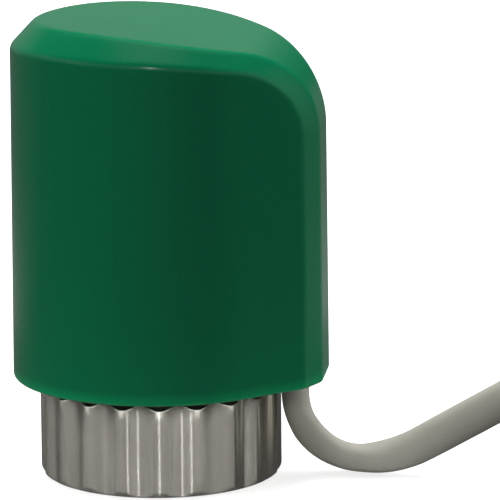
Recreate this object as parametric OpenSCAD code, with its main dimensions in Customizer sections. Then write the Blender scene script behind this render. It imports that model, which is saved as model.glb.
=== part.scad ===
// Thermal valve actuator, normally closed: a moulded hood over a snap-in
// base, a fluted union nut on a turned seating collar, a wax motor that lifts
// a sprung carriage and its plunger off the valve pin, and a flat cable.
// Millimetres. Origin: centre of the collar's seating face, which rests on the
// valve neck. +Z runs up the valve stem, +X points to the cable side.

/* [Hood] */
// Radius of the round side of the hood
body_r = 21; // [20.8:0.1:21.4]
// Distance from the stem axis to the flat cable side
flat_x = 23.8; // [23.6:0.1:24.2]
// Angle between the front and the plane that leads to the flat side
wedge_angle = 41; // [40:0.5:42]
// Height of the hood's lower rim above the seating face
rim_z = 4.8; // [4.75:0.05:5.0]
// Radius of the bend between the crown and the flat side
bend_r = 13; // [12.5:0.1:13.5]
// Radius of the shallow crown
crown_r = 112; // [105:1:120]
// Slope of the crown where the bend begins
bend_angle = 13.2; // [12.5:0.1:14]
// Height of the bend's centre
bend_z = 41.2; // [41:0.1:42.5]
// Edge chamfer at the stem axis
chamfer_mid = 2.75; // [2.4:0.05:2.9]
// Change of the edge chamfer per millimetre towards the cable side
chamfer_slope = -0.034; // [-0.04:0.002:-0.026]
// Hood wall at the rim
rim_wall = 2.0; // [1.9:0.05:2.05]
// Hood wall above the gasket ledge
wall = 2.6; // [2.5:0.05:2.7]

/* [Union nut] */
// Outside radius over the lands
nut_r = 17.5; // [17:0.1:18]
// Height of the nut
nut_h = 14.1; // [14:0.05:14.2]
// Height of the nut's top face above the seating face
nut_top = 4.5; // [4.4:0.05:4.55]
// Number of flutes
flutes = 20; // [16:1:22]
// Depth of a flute
flute_depth = 0.6; // [0.4:0.05:0.8]
// Radius of a flute
flute_r = 4.0; // [3:0.1:4.4]

/* [Lift] */
// Height of the plunger tip above the seating face, valve closed
tip_z = 11.3; // [11.2:0.05:11.6]
// Number of coils of the main spring
coils = 6; // [5:1:7]
// Wire radius of the main spring
wire_r = 1.0; // [0.8:0.05:1.0]

/* [Cable] */
// Half thickness of the flat cable
cable_half_t = 2.0; // [1.8:0.05:2.0]
// Half width of the flat cable
cable_half_w = 2.7; // [2.5:0.05:2.7]
// Radius of an insulated core
core_r = 0.85; // [0.7:0.05:0.85]

/* [Hidden] */
$fn = 64;
overlap = 0.01;       // joins stacked solids of one piece
gap = 0.05;           // clearance of a close fit

// nut, collar and guide bush
thread_pitch = 1.5;
thread_r = 14.188;    // crest radius of the internal thread
nut_bore = 12.3;
nut_bottom = nut_top - nut_h;
flange_r = 13.8;      // collar flange inside the nut
flange_t = 2.0;
neck_r = 12.24;       // collar neck, the nut turns on it
hub_r = 11;           // collar above the base plate
hub_top = 16;
groove_r = 10.2;      // groove for the retaining ring
ring_t = 1;
bush_z = 11;          // bottom of the guide bush
bush_r = 7;
bush_bore = 5.05;

// base plate and hood
base_z0 = 5.4;        // underside of the base plate
base_z1 = 8.4;        // top of the base plate
base_edge_t = 1.5;    // thickness of the plate's edge under the gasket
boss_z = 9.5;         // top of the base plate's centre boss
ledge_z = 8.1;        // gasket ledge inside the hood
grommet_x = 19.0;
grommet_r = 3.5;
hook_w = 4.6;
// snap hooks: [angle of the wall they face, offset along that wall]
hooks = [[-49, -4.6], [49, 4.6], [-138, 0], [138, 0]];

// carriage, spring and frame
carriage_z = 16.4;    // underside of the carriage flange
spring_z0 = 18.9;     // lower spring seat
spring_z1 = 47.4;     // upper spring seat
spring_r = 12;        // centre of the wire
plate_t = 1.5;        // upper spring plate
bar_z = 44.0;         // underside of the crosshead
bar_t = 3;
arm_y = 8.1;          // middle of a carriage arm
arm_t = 3.4;
arm_w = 8;
pillar_r = 15.2;      // pitch radius of the frame pillars
pillar_angles = [60, 180, 300];
pillar_foot_z = 8.4;
pillar_shoulder_z = 12.4;
post_x = 9.0;         // bridge posts and their holes in the flange

// heater stack on the bridge
bridge_z = 23.3;      // underside of the bridge
bridge_t = 2;
stack_z = bridge_z + bridge_t;
contact_z = stack_z + 1;
contact_t = 0.4;
disc_z = contact_z + contact_t;
disc_r = 4.5;
disc_t = 2.3;
cup_z = disc_z + disc_t;
cup_r = 5.5;
upper_contact_z = 31.5;

// terminal board, leads and cable clamp
board_x = 14.5;
board_t = 1.2;
board_w = 13.7;
board_z = 19.5;
block_x = board_x + board_t;
terminal_y = 2.5;
terminal_z = 29.4;    // screw axis
wire_x = 17.3;        // wire holes of the terminal block
lead_y = 2.0;
lead_r = 0.6;
lead_bend_r = 1.8;
lead_bend_x = 14.6;   // centre of the bend above the board
lead_bend_z = 47.85;
lead_drop_x = 8.5;    // where the leads come down to the contacts
clamp_x = 18.55;
clamp_t = 1.05;
clamp_z = 10.5;
clamp_h = 3;
clamp_screw_y = 4.65;
clamp_screw_z = 12;

// ---------- placing ----------
module raise(z) translate([0, 0, z]) children();
module pair_x(x) for (side = [-1, 1]) translate([side * x, 0, 0]) children();
module pair_y(y) for (side = [-1, 1]) translate([0, side * y, 0]) children();
// turns +Z to +X, starting at x and height z
module along_x(x, z) translate([x, 0, z]) rotate([0, 90, 0]) children();
module at_pillars() for (a = pillar_angles)
  translate(pillar_r * [cos(a), sin(a), 0]) children();
// frame of each hook: local +Y points out through the hood wall
module at_hooks() for (h = hooks)
  rotate([0, 0, h[0] - 90]) translate([h[1], body_r - wall - 0.3, 0]) children();

// ---------- outline and profile of the hood ----------
// An inset moves every face of the hood inwards by that distance.
// [x, z] on the bend where the surface slopes by tilt
function bend_point(tilt, inset) = [
  flat_x - bend_r + (bend_r - inset) * sin(tilt),
  bend_z + (bend_r - inset) * cos(tilt)];
// the crown arc meets the bend tangentially, which fixes its centre [x, z]
crown_centre = bend_point(bend_angle, crown_r);
function half_width(x, inset) = x < (body_r - inset) * sin(wedge_angle)
  ? sqrt(max(0, (body_r - inset) * (body_r - inset) - x * x))
  : (body_r - inset - x * sin(wedge_angle)) / cos(wedge_angle);
function crown_height(x, inset) =
  crown_centre[1] + sqrt(pow(crown_r - inset, 2) - pow(x - crown_centre[0], 2));
function crown_tilt(x, inset) = asin((x - crown_centre[0]) / (crown_r - inset));
function chamfer(x) = chamfer_mid + chamfer_slope * x;

// A station is a pair of front points: the chamfer's edge on the wall, then
// its edge on the top.
function round_point(r, angle, inset) =
  [r * sin(angle), -r * cos(angle), crown_height(r * sin(angle), inset)];
function round_station(angle, inset, size) = [
  round_point(body_r - inset, angle, inset + size),
  round_point(body_r - inset - size, angle, inset)];
function top_station(x, z, tilt, inset, size) =
  let (wall_x = x - size * sin(tilt)) [
    [wall_x, -half_width(wall_x, inset), z - size * cos(tilt)],
    [x, -half_width(x, inset + size), z]];
// stations round the left half, along the crown and down the bend
function stations(inset, trim) = concat(
  [for (i = [0:14]) let (angle = -90 + 90 * i / 15)
    round_station(angle, inset, chamfer((body_r - inset) * sin(angle)) - trim)],
  [for (i = [0:5]) let (x = bend_point(bend_angle, inset)[0] * i / 6)
    top_station(x, crown_height(x, inset), crown_tilt(x, inset), inset,
      chamfer(x) - trim)],
  [for (i = [0:12]) let (tilt = bend_angle + (90 - bend_angle) * i / 12,
      p = bend_point(tilt, inset))
    top_station(p[0], p[1], tilt, inset, chamfer(p[0]) - trim)]);
// triangle outside the chamfer at a station
function cut_triangle(station) =
  let (overrun = 1.2, reach = 4,
    along = unit(station[1] - station[0]),
    middle = (station[0] + station[1]) / 2,
    outward = unit([middle[0], middle[1], 0] / norm([middle[0], middle[1]])
      + [0, 0, 1]))
  [station[0] - overrun * along, middle + reach * outward,
    station[1] + overrun * along];

module outline(inset) {
  r = body_r - inset - 0.1;
  start = wedge_angle - 5;
  corner = chamfer(flat_x) - inset * 0.3;
  front = [[r * sin(start), -r * cos(start)],
    [flat_x - inset - corner, -half_width(flat_x - inset - corner, inset)],
    [flat_x - inset, -half_width(flat_x - inset, inset + corner)]];
  circle(body_r - inset, $fn = 128);
  polygon(concat([[0, 0]], front,
    [for (i = [2, 1, 0]) [front[i][0], -front[i][1]]]));
}
module profile(inset) {
  left = -30;
  bottom = -5;
  crown_end = bend_point(bend_angle, inset)[0];
  polygon(concat([[flat_x - inset, bottom], [left, bottom]],
    [for (i = [0:11]) let (x = left + (crown_end - left) * i / 12)
      [x, crown_height(x, inset)]],
    [for (i = [0:24])
      bend_point(bend_angle + (90 - bend_angle) * i / 24, inset)]));
}
// triangles swept along the chamfer, front and back in one strip
module edge_cut(inset, trim) {
  bottom = -8;
  top = [for (s = stations(inset, trim)) cut_triangle(s)];
  foot = [for (p = top[len(top) - 1]) [p[0], p[1], bottom]];
  front = concat(top, [foot]);
  back = [for (i = [len(top):-1:1]) [for (p = front[i]) [p[0], -p[1], p[2]]]];
  strip = concat(back, front);
  count = len(strip);
  polyhedron([for (triangle = strip) each triangle], concat([[2, 1, 0]],
    [for (i = [0:count - 2], j = [0:2])
      let (a = 3 * i + j, b = 3 * i + (j + 1) % 3)
      each [[a, b + 3, a + 3], [a, b, b + 3]]],
    [[3 * count - 3, 3 * count - 2, 3 * count - 1]]), convexity = 10);
}
// solid hood from z0 up; trim makes the chamfer smaller
module hood(inset, trim, z0) {
  difference() {
    intersection() {
      raise(z0) linear_extrude(70) outline(inset);
      rotate([90, 0, 0]) linear_extrude(60, center = true) profile(inset);
    }
    edge_cut(inset, trim);
  }
}

// ---------- swept shapes ----------
y_axis = [0, 1, 0];
function unit(v) = v / norm(v);
function last(list) = list[len(list) - 1];
function tangent(path, i) =
  unit(path[min(i + 1, len(path) - 1)] - path[max(i - 1, 0)]);
// section placed square to the path at point i, its first axis square to ref
function ring_at(path, i, ref, section) =
  let (t = tangent(path, i), n = unit(cross(ref, t)), b = cross(t, n))
  [for (q = section) path[i] + n * q[0] + b * q[1]];
function rings(path, ref, sections) =
  [for (i = [0:len(path) - 1]) each ring_at(path, i, ref, sections[i])];
// ellipse with half axes a and b, turned by twist
function oval(a, b, twist, sides) = [for (j = [0:sides - 1])
  let (u = 360 * (j + 0.5) / sides, x = a * cos(u), y = b * sin(u))
  [x * cos(twist) - y * sin(twist), x * sin(twist) + y * cos(twist)]];
// side faces between rings, from point number first on
function side_faces(count, sides, first, inward) =
  [for (i = [0:count - 2], j = [0:sides - 1])
    let (a = first + i * sides + j, b = first + i * sides + (j + 1) % sides)
    each (inward ? [[a, b + sides, a + sides], [a, b, b + sides]]
      : [[a, a + sides, b + sides], [a, b + sides, b]])];
module sweep(path, ref, sections) {
  sides = len(sections[0]);
  count = len(path);
  polyhedron(rings(path, ref, sections),
    concat([[for (j = [0:sides - 1]) j]], side_faces(count, sides, 0, false),
      [[for (j = [sides - 1:-1:0]) (count - 1) * sides + j]]), convexity = 10);
}
module sweep_tube(path, ref, sections, bores) {
  sides = len(sections[0]);
  count = len(path);
  bore = count * sides;
  end = (count - 1) * sides;
  polyhedron(concat(rings(path, ref, sections), rings(path, ref, bores)),
    concat(side_faces(count, sides, 0, false),
      side_faces(count, sides, bore, true),
      [for (j = [0:sides - 1]) let (k = (j + 1) % sides)
        each [[j, k, bore + k], [j, bore + k, bore + j]]],
      [for (j = [0:sides - 1]) let (k = (j + 1) % sides)
        each [[end + j, bore + end + k, end + k],
          [end + j, bore + end + j, bore + end + k]]]),
    convexity = 10);
}
module round_wire(path, r, ref = y_axis)
  sweep(path, ref, [for (p = path) oval(r, r, 0, 8)]);

// ---------- path of the cable ----------
cable_x = 18.5;       // cable inside the hood
exit_x = 19.65;       // cable where it leaves the rim
jog_z = 10;           // the cable jogs outwards from here down to the rim
jog_drop = 6.4;
jog_angle = 2 * atan((exit_x - cable_x) / jog_drop);
jog_r = jog_drop / (2 * sin(jog_angle));
low_x = 29.2;         // lowest point of the cable
low_z = -7.35;
fall_r = low_x - exit_x;
climb_r = 18;
climb_angle = 30;     // slope of the straight end
climb_x = 21.8;       // its length along X
climb_start = [low_x + climb_r * sin(climb_angle),
  low_z + climb_r * (1 - cos(climb_angle))];
// points after the first on an arc in the XZ plane; centre is [x, z]
function arc(centre, r, from, to, steps) =
  [for (i = [1:steps]) let (a = from + (to - from) * i / steps)
    [centre[0] + r * cos(a), 0, centre[1] + r * sin(a)]];
// from inside the hood to the free end of the jacket
cable_path = concat([[cable_x, 0, 15], [cable_x, 0, jog_z]],
  arc([cable_x + jog_r, jog_z], jog_r, 180, 180 + jog_angle, 3),
  arc([exit_x - jog_r, jog_z - jog_drop], jog_r, jog_angle, 0, 3),
  arc([low_x, low_z + fall_r], fall_r, 180, 270, 11),
  arc([low_x, low_z + climb_r], climb_r, 270, 270 + climb_angle, 6),
  [for (i = [1:6]) [climb_start[0] + climb_x * i / 6, 0,
    climb_start[1] + climb_x * tan(climb_angle) * i / 6]]);
// twist about the path: to -35 and back before the low point, then towards 80
function twist(p) = p[0] < low_x
  ? -35 * min(1, (low_x - p[0]) / 6) * max(0, min(1, (p[0] - exit_x) / 1.6))
  : 80 * (1 - exp(-(p[0] - low_x) / 7));
// a core beyond the jacket: [distance along the cable, Y spread, Z spread]
core_spread = [[2, 0.3, 0.3], [4.5, 1.2, 1.4], [7, 2.0, 2.4], [10, 2.2, 2.7]];
// from the terminal, through the jacket, to the stripped end
function core_path(side) =
  let (offset = side * (core_r + 0.03), count = len(cable_path),
    jacketed = [for (i = [0:count - 1])
      let (t = tangent(cable_path, i), n = unit(cross(y_axis, t)),
        b = cross(t, n), turn = twist(cable_path[i]))
      cable_path[i] + offset * (b * cos(turn) - n * sin(turn))])
  concat([[wire_x, side * terminal_y, 27.5], [wire_x, side * terminal_y, 22],
      [17.7, side * 2.2, 19], [18.2, side * 1.5, 16.8]],
    jacketed,
    [for (s = core_spread) last(jacketed)
      + tangent(cable_path, count - 1) * s[0] + side * [0, s[1], s[2]]]);

// ---------- hood, gasket and base ----------
module housing_cover() {
  color([0.05, 0.42, 0.27]) difference() {
    hood(0, 0, rim_z);
    hood(wall, 0.9, ledge_z);
    raise(rim_z - 1) linear_extrude(ledge_z - rim_z + 1) outline(rim_wall);
    at_hooks() translate([-hook_w / 2 - 0.4, -0.1, 14.9])
      cube([hook_w + 0.8, 1.45, 2.3]);
  }
}
module cover_gasket() {
  color([0.12, 0.12, 0.12]) raise(base_z0 + base_edge_t) difference() {
    linear_extrude(ledge_z - base_z0 - base_edge_t) outline(2.15);
    raise(-1) linear_extrude(4) outline(3.35);
    translate([grommet_x, 0, -1]) cylinder(h = 4, r = grommet_r + gap);
  }
}
module base_plate() {
  root_z = 6;  // bottom of the parts that stand on the plate
  color([0.07, 0.07, 0.07]) difference() {
    union() {
      raise(base_z0) linear_extrude(base_edge_t) outline(2.1);
      raise(base_z0) linear_extrude(base_z1 - base_z0) outline(3.4);
      raise(base_z0) cylinder(h = boss_z - base_z0, r = 13.2);
      at_pillars() raise(root_z) cylinder(h = pillar_shoulder_z - root_z, r = 2.4);
      // blocks for the clamp screws
      pair_y(clamp_screw_y) translate([14.1, -1.55, root_z]) cube([4.4, 3.1, 7.5]);
      // uprights that hold the terminal board
      pair_y(6.7) translate([14.0, -0.75, 8]) cube([2.2, 1.5, 18]);
      at_hooks() {
        translate([-hook_w / 2, -1.9, root_z]) cube([hook_w, 1.3, 11]);
        translate([-hook_w / 2, 0, 0]) rotate([90, 0, 90]) linear_extrude(hook_w)
          polygon([[-0.7, 15.1], [0.9, 15.1], [0.9, 15.5], [-0.7, 17]]);
      }
    }
    raise(base_z0 - 1) cylinder(h = 6, r = hub_r + gap);
    at_pillars() raise(8) cylinder(h = 5, r = 1.3);
    translate([grommet_x, 0, base_z0 - 1]) cylinder(h = 4.2, r = grommet_r + gap);
    pair_y(clamp_screw_y) along_x(12, clamp_screw_z) cylinder(h = 7, r = 0.85);
    translate([board_x - gap, -board_w / 2 - gap, board_z - 0.1])
      cube([board_t + 2 * gap, board_w + 2 * gap, 8]);
  }
}

// ---------- nut and collar; turned profiles are lists of [radius, z] ----------
// the internal thread is cut as ring grooves at the pitch
module union_nut() {
  root_r = 15.0;
  color([0.72, 0.71, 0.68]) difference() {
    rotate_extrude($fn = 128) polygon([[nut_bore, 2.2], [15.1, 2.2], [15.1, 0],
      [thread_r, -0.45], [thread_r, nut_bottom + 1.1], [15.4, nut_bottom],
      [nut_r - 1.0, nut_bottom], [nut_r - 0.3, nut_bottom + 0.3],
      [nut_r, nut_bottom + 1.0], [nut_r, nut_top - 1.1],
      [nut_r - 1.1, nut_top], [nut_bore, nut_top]]);
    for (i = [0:flutes - 1]) rotate([0, 0, 360 / flutes * (i + 0.91)])
      translate([nut_r - flute_depth + flute_r, 0, nut_bottom - 1])
      cylinder(h = nut_h + 2, r = flute_r, $fn = 48);
    for (i = [0:4]) raise(nut_bottom + 1.15 + thread_pitch * i)
      rotate_extrude($fn = 96) polygon([[thread_r - 0.4, 0], [thread_r, 0.1],
        [root_r, 0.57], [root_r, 0.77], [thread_r, 1.24],
        [thread_r - 0.4, 1.34]]);
  }
}
module seating_collar() {
  color([0.80, 0.68, 0.40]) difference() {
    rotate_extrude($fn = 96) polygon([[9, 0], [flange_r, 0],
      [flange_r, flange_t], [neck_r, flange_t], [neck_r, base_z0],
      [hub_r, base_z0], [hub_r, boss_z], [groove_r, boss_z],
      [groove_r, boss_z + ring_t], [hub_r, boss_z + ring_t], [hub_r, hub_top],
      [bush_r, hub_top], [bush_r, bush_z], [9, bush_z]]);
    pair_x(post_x) raise(12) cylinder(h = 5, r = 1.0);
  }
}
module retaining_ring() {
  color([0.55, 0.56, 0.58]) raise(boss_z) difference() {
    cylinder(h = ring_t, r = 12.0);
    raise(-1) cylinder(h = 3, r = groove_r + gap);
    translate([0, -2, -1]) cube([20, 4, 3]);
  }
}
module guide_bush() {
  color([0.92, 0.91, 0.86]) rotate_extrude($fn = 64)
    polygon([[bush_bore, bush_z], [bush_r, bush_z], [bush_r, hub_top],
      [bush_bore, hub_top], [bush_bore, 14.2], [6.35, 14.2], [6.35, 12.8],
      [bush_bore, 12.8]]);
}
module stem_seal() {
  color([0.10, 0.10, 0.10]) raise(13.5) rotate_extrude($fn = 64)
    translate([5.7, 0]) circle(0.62, $fn = 24);
}

// ---------- plunger and carriage ----------
module plunger() {
  color([0.86, 0.84, 0.78]) rotate_extrude($fn = 64) polygon([[0, tip_z],
    [4.6, tip_z], [5, tip_z + 0.4], [5, carriage_z], [2.4, carriage_z],
    [2.4, 17.75], [1.9, 17.75], [1.9, 18.35], [2.4, 18.35], [2.4, 18.8],
    [0, 18.8]]);
}
module plunger_clip() {
  color([0.55, 0.56, 0.58]) raise(17.78) difference() {
    cylinder(h = 0.55, r = 3.9);
    raise(-1) cylinder(h = 3, r = 1.92);
    translate([0, -1.5, -1]) cube([6, 3, 3]);
  }
}
module carriage() {
  arm_z = 18;
  color([0.93, 0.92, 0.88]) difference() {
    union() {
      raise(carriage_z) cylinder(h = spring_z0 - carriage_z, r = 13.1);
      raise(spring_z0 - overlap) cylinder(h = 1.2, r = 10.6);
      pair_y(arm_y) translate([-arm_w / 2, -arm_t / 2, arm_z])
        cube([arm_w, arm_t, bar_z - arm_z]);
    }
    // plunger, clip recess, bridge slot, posts and screws
    raise(carriage_z - 1) cylinder(h = 5, r = 2.45);
    raise(17.74) cylinder(h = 5, r = 4.2);
    translate([-12, -6.1, spring_z0]) cube([24, 12.2, 3]);
    pair_x(post_x) raise(carriage_z - 1) cylinder(h = 8, r = 1.84);
    pair_y(arm_y) raise(bar_z - 7) cylinder(h = 8, r = 1.0);
  }
}
module crosshead() {
  span = 2 * arm_y + arm_t;
  color([0.60, 0.61, 0.62]) difference() {
    translate([-arm_w / 2, -span / 2, bar_z]) cube([arm_w, span, bar_t]);
    pair_y(arm_y) raise(bar_z - 1) cylinder(h = 6, r = 1.1);
  }
}
// cross-slotted pan-head screw, head up, under-head at z = 0
module pan_screw(shank_r, length, head_r, head_h) {
  difference() {
    union() {
      rotate_extrude($fn = 32) polygon([[0, 0], [head_r, 0],
        [head_r, head_h * 0.55], [head_r * 0.8, head_h * 0.9],
        [head_r * 0.45, head_h], [0, head_h]]);
      raise(-length) cylinder(h = length + overlap, r = shank_r);
    }
    for (a = [0, 90]) rotate([0, 0, a])
      translate([-head_r * 0.55, -head_r * 0.14, head_h * 0.45])
      cube([head_r * 1.1, head_r * 0.28, head_h]);
  }
}
module crosshead_screws() {
  color([0.70, 0.70, 0.72]) pair_y(arm_y) raise(bar_z + bar_t)
    pan_screw(0.95, 8, 1.7, 1.3);
}

// ---------- bridge, spring and frame ----------
module bridge_posts() {
  color([0.70, 0.70, 0.72]) pair_x(post_x) difference() {
    union() {
      raise(hub_top) cylinder(h = bridge_z - hub_top, r = 1.75);
      raise(12.5) cylinder(h = hub_top - 12.5 + overlap, r = 0.95);
    }
    raise(bridge_z - 4) cylinder(h = 5, r = 0.9);
  }
}
module bridge_plate() {
  width = 11.2;
  color([0.62, 0.63, 0.65]) raise(bridge_z) difference() {
    intersection() {
      cylinder(h = bridge_t, r = 10.7);
      translate([-12, -width / 2, 0]) cube([24, width, bridge_t]);
    }
    pair_x(post_x) raise(-1) cylinder(h = 4, r = 0.95);
  }
}
module bridge_screws() {
  color([0.70, 0.70, 0.72]) pair_x(post_x) raise(stack_z)
    pan_screw(0.85, 5, 1.5, 1.1);
}
module main_spring() {
  steps = 20;        // points per turn
  flat_turns = 0.9;  // flat turns at each end
  nudge = 0.02;      // the flat turns are shifted inwards by this
  z0 = spring_z0 + wire_r;
  z1 = spring_z1 - wire_r;
  function height(turns) = z0 + (z1 - z0)
    * min(1, max(0, (turns - flat_turns) / (coils - 2 * flat_turns)));
  path = [for (i = [0:coils * steps]) let (a = 360 * i / steps, turns = i / steps)
    [spring_r * cos(a), spring_r * sin(a), height(turns)
      + (turns < flat_turns ? nudge : turns > coils - flat_turns ? -nudge : 0)]];
  color([0.62, 0.63, 0.66]) round_wire(path, wire_r * 0.98, [0, 0, 1]);
}
module spring_plate() {
  color([0.68, 0.69, 0.70]) raise(spring_z1) difference() {
    union() {
      cylinder(h = plate_t, r = 13.6);
      at_pillars() cylinder(h = plate_t, r = 2.6);
    }
    raise(-1) cylinder(h = 4, r = 10.9);
    at_pillars() raise(-1) cylinder(h = 4, r = 1.35);
  }
}
module frame_pillars() {
  color([0.70, 0.70, 0.72]) at_pillars() difference() {
    union() {
      raise(pillar_shoulder_z) cylinder(h = spring_z1 - pillar_shoulder_z, r = 1.75);
      raise(pillar_foot_z)
        cylinder(h = pillar_shoulder_z - pillar_foot_z + overlap, r = 1.25);
    }
    raise(spring_z1 - 6) cylinder(h = 7, r = 1.15);
  }
}
module pillar_screws() {
  color([0.70, 0.70, 0.72]) at_pillars() raise(spring_z1 + plate_t)
    pan_screw(1.1, 6, 2.1, 1.4);
}

// ---------- heater and wax motor ----------
module heater_seat() {
  color([0.90, 0.88, 0.80]) difference() {
    raise(stack_z) cylinder(h = 3.5, r = 5.6);
    raise(contact_z) cylinder(h = 4, r = 4.62);
    translate([0, -1.3, contact_z]) cube([8, 2.6, 4]);
  }
}
// disc with a cranked tab towards +X
module lower_contact() {
  color([0.85, 0.72, 0.40]) raise(contact_z) {
    cylinder(h = contact_t, r = disc_r);
    translate([0, -1.1, 0]) cube([7.45, 2.2, contact_t]);
    translate([6.0, -2.7, 0]) cube([1.45, 2.7, contact_t]);
    translate([6.0, -2.7, 0]) cube([3.1, 1.45, contact_t]);
  }
}
module ptc_disc() {
  color([0.35, 0.36, 0.38]) raise(disc_z) cylinder(h = disc_t, r = disc_r);
}
// band round the cup with a cranked tab towards +X
module upper_contact() {
  band_h = 3;
  color([0.85, 0.72, 0.40]) raise(upper_contact_z) {
    difference() {
      cylinder(h = band_h, r = 5.9);
      raise(-1) cylinder(h = 5, r = cup_r + 0.02);
    }
    translate([5.6, -1.1, 0]) cube([2 * contact_t, 2.2, band_h]);
    translate([6.0, -1.1, band_h - contact_t]) cube([1.6, 2.2, contact_t]);
    translate([7.0, -1.1, band_h - contact_t]) cube([2.1, 3.8, contact_t]);
  }
}
module wax_motor_cup() {
  color([0.83, 0.68, 0.36]) rotate_extrude($fn = 64) polygon([[0, cup_z],
    [cup_r - 0.3, cup_z], [cup_r, cup_z + 0.3], [cup_r, 40], [4.0, 40],
    [4.0, 39.4], [4.7, 39.4], [4.7, 30], [0, 30]]);
}
module wax_charge() {
  color([0.93, 0.89, 0.74]) rotate_extrude($fn = 64) polygon([[0, 30.02],
    [4.65, 30.02], [4.65, 37], [2.68, 37], [2.68, 30.55], [0, 30.55]]);
}
module rubber_boot() {
  color([0.13, 0.13, 0.13]) rotate_extrude($fn = 64) polygon([[0, 30.6],
    [2.65, 30.6], [2.65, 37.02], [4.65, 37.02], [4.65, 38], [2.07, 38],
    [2.07, 31.25], [0, 31.25]]);
}
module piston_guide() {
  color([0.80, 0.66, 0.35]) rotate_extrude($fn = 64) polygon([[2.05, 38.02],
    [4.65, 38.02], [4.65, 39.38], [3.3, 39.38], [3.3, 42], [3, 42.3],
    [2.05, 42.3]]);
}
module wax_motor_piston() {
  color([0.78, 0.79, 0.80]) rotate_extrude($fn = 64) polygon([[0, 31.3],
    [1.7, 31.3], [2.0, 31.6], [2.0, bar_z - 0.2], [1.8, bar_z], [0, bar_z]]);
}

// ---------- terminals ----------
module terminal_board() {
  color([0.10, 0.35, 0.20]) difference() {
    translate([board_x, -board_w / 2, board_z]) cube([board_t, board_w, 24.5]);
    pair_y(2.6) along_x(14, 26) cylinder(h = 3, r = 0.5);
    pair_y(lead_y) along_x(14, 41.5) cylinder(h = 3, r = 0.75);
  }
}
module terminal_block() {
  color([0.20, 0.22, 0.24]) difference() {
    translate([block_x, -5, 24]) cube([4.4, 10, 8]);
    pair_y(terminal_y) {
      translate([wire_x, 0, 23]) cylinder(h = 6, r = 1.0);
      along_x(18, terminal_z) cylinder(h = 4, r = 1.35);
    }
  }
}
module terminal_screws() {
  color([0.75, 0.75, 0.77]) pair_y(terminal_y) along_x(18.05, terminal_z)
    difference() {
      cylinder(h = 1.3, r = 1.25);
      translate([-2, -0.2, 0.7]) cube([4, 0.4, 2]);
    }
}
module varistor() {
  color([0.10, 0.25, 0.60]) {
    along_x(16.0, 36.6) rotate_extrude($fn = 48)
      polygon([[0, 0], [2.8, 0], [3.3, 0.5], [3.3, 1.4], [2.8, 1.9], [0, 1.9]]);
    pair_y(1.5) {
      translate([16.9, 0, 32.8]) cylinder(h = 2.2, r = 0.3);
      along_x(15.72, 33.1) cylinder(h = 1.2, r = 0.3);
    }
  }
}
// lead from the board over the spring plate and down to a contact
module lead(y, end_z) {
  function quarter(centre_x, from) = [for (i = [0:6]) let (a = from + 15 * i)
    [centre_x + lead_bend_r * cos(a), y, lead_bend_z + lead_bend_r * sin(a)]];
  round_wire(concat([[lead_bend_x + lead_bend_r, y, 41.0]],
    quarter(lead_bend_x, 0), quarter(lead_drop_x + lead_bend_r, 90),
    [[lead_drop_x, y, end_z]]), lead_r);
}
module heater_lead_a() {
  color([0.75, 0.10, 0.08]) lead(lead_y, 34.52);
}
module heater_lead_b() {
  color([0.12, 0.12, 0.13]) lead(-lead_y, 26.72);
}

// ---------- cable ----------
module oval_hole(h) {
  linear_extrude(h, center = true) scale([0.768, 1]) circle(2.76, $fn = 48);
}
module cable_clamp() {
  color([0.08, 0.08, 0.08]) difference() {
    union() {
      translate([clamp_x, -6.0, clamp_z]) cube([clamp_t, 12.0, clamp_h]);
      translate([clamp_x, -3.2, clamp_z]) cube([2.5, 6.4, clamp_h]);
    }
    translate([cable_x, 0, clamp_screw_z]) oval_hole(6);
    pair_y(clamp_screw_y) along_x(16, clamp_screw_z) cylinder(h = 6, r = 1.0);
  }
}
module clamp_screws() {
  color([0.75, 0.75, 0.77]) pair_y(clamp_screw_y)
    along_x(clamp_x + clamp_t, clamp_screw_z) pan_screw(0.8, 5.2, 1.3, 0.9);
}
module cable_grommet() {
  color([0.10, 0.10, 0.10]) difference() {
    intersection() {
      translate([grommet_x, 0, base_z0]) cylinder(h = 2.65, r = grommet_r);
      raise(base_z0 - 1) linear_extrude(6) outline(2.2);
    }
    translate([19.05, 0, 6.9]) rotate([0, -15.5, 0]) oval_hole(10);
    translate([20.5, -1.9, base_z0 - 1]) cube([3, 3.8, 6]);
  }
}
module cable_jacket() {
  color([0.44, 0.44, 0.42]) sweep_tube(cable_path, y_axis,
    [for (p = cable_path) oval(cable_half_t, cable_half_w, twist(p), 16)],
    [for (p = cable_path) oval(core_r + 0.2, core_r * 2 + 0.26, twist(p), 16)]);
}
module core_brown() {
  color([0.32, 0.17, 0.08]) round_wire(core_path(-1), core_r);
}
module core_blue() {
  color([0.10, 0.25, 0.55]) round_wire(core_path(1), core_r);
}
module end_sleeves() {
  color([0.80, 0.80, 0.82]) for (side = [-1, 1])
    translate(last(core_path(side))) rotate([0, 90 - climb_angle, 0])
    raise(0.14) {
      cylinder(h = 0.5, r = 1.0, $fn = 32);
      cylinder(h = 6, r = 0.62, $fn = 32);
    }
}

housing_cover();
cover_gasket();
base_plate();
union_nut();
seating_collar();
retaining_ring();
guide_bush();
stem_seal();
plunger();
plunger_clip();
carriage();
crosshead();
crosshead_screws();
bridge_posts();
bridge_plate();
bridge_screws();
main_spring();
spring_plate();
frame_pillars();
pillar_screws();
heater_seat();
lower_contact();
ptc_disc();
upper_contact();
wax_motor_cup();
wax_charge();
rubber_boot();
piston_guide();
wax_motor_piston();
terminal_board();
terminal_block();
terminal_screws();
varistor();
heater_lead_a();
heater_lead_b();
cable_clamp();
clamp_screws();
cable_grommet();
cable_jacket();
core_brown();
core_blue();
end_sleeves();
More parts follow.
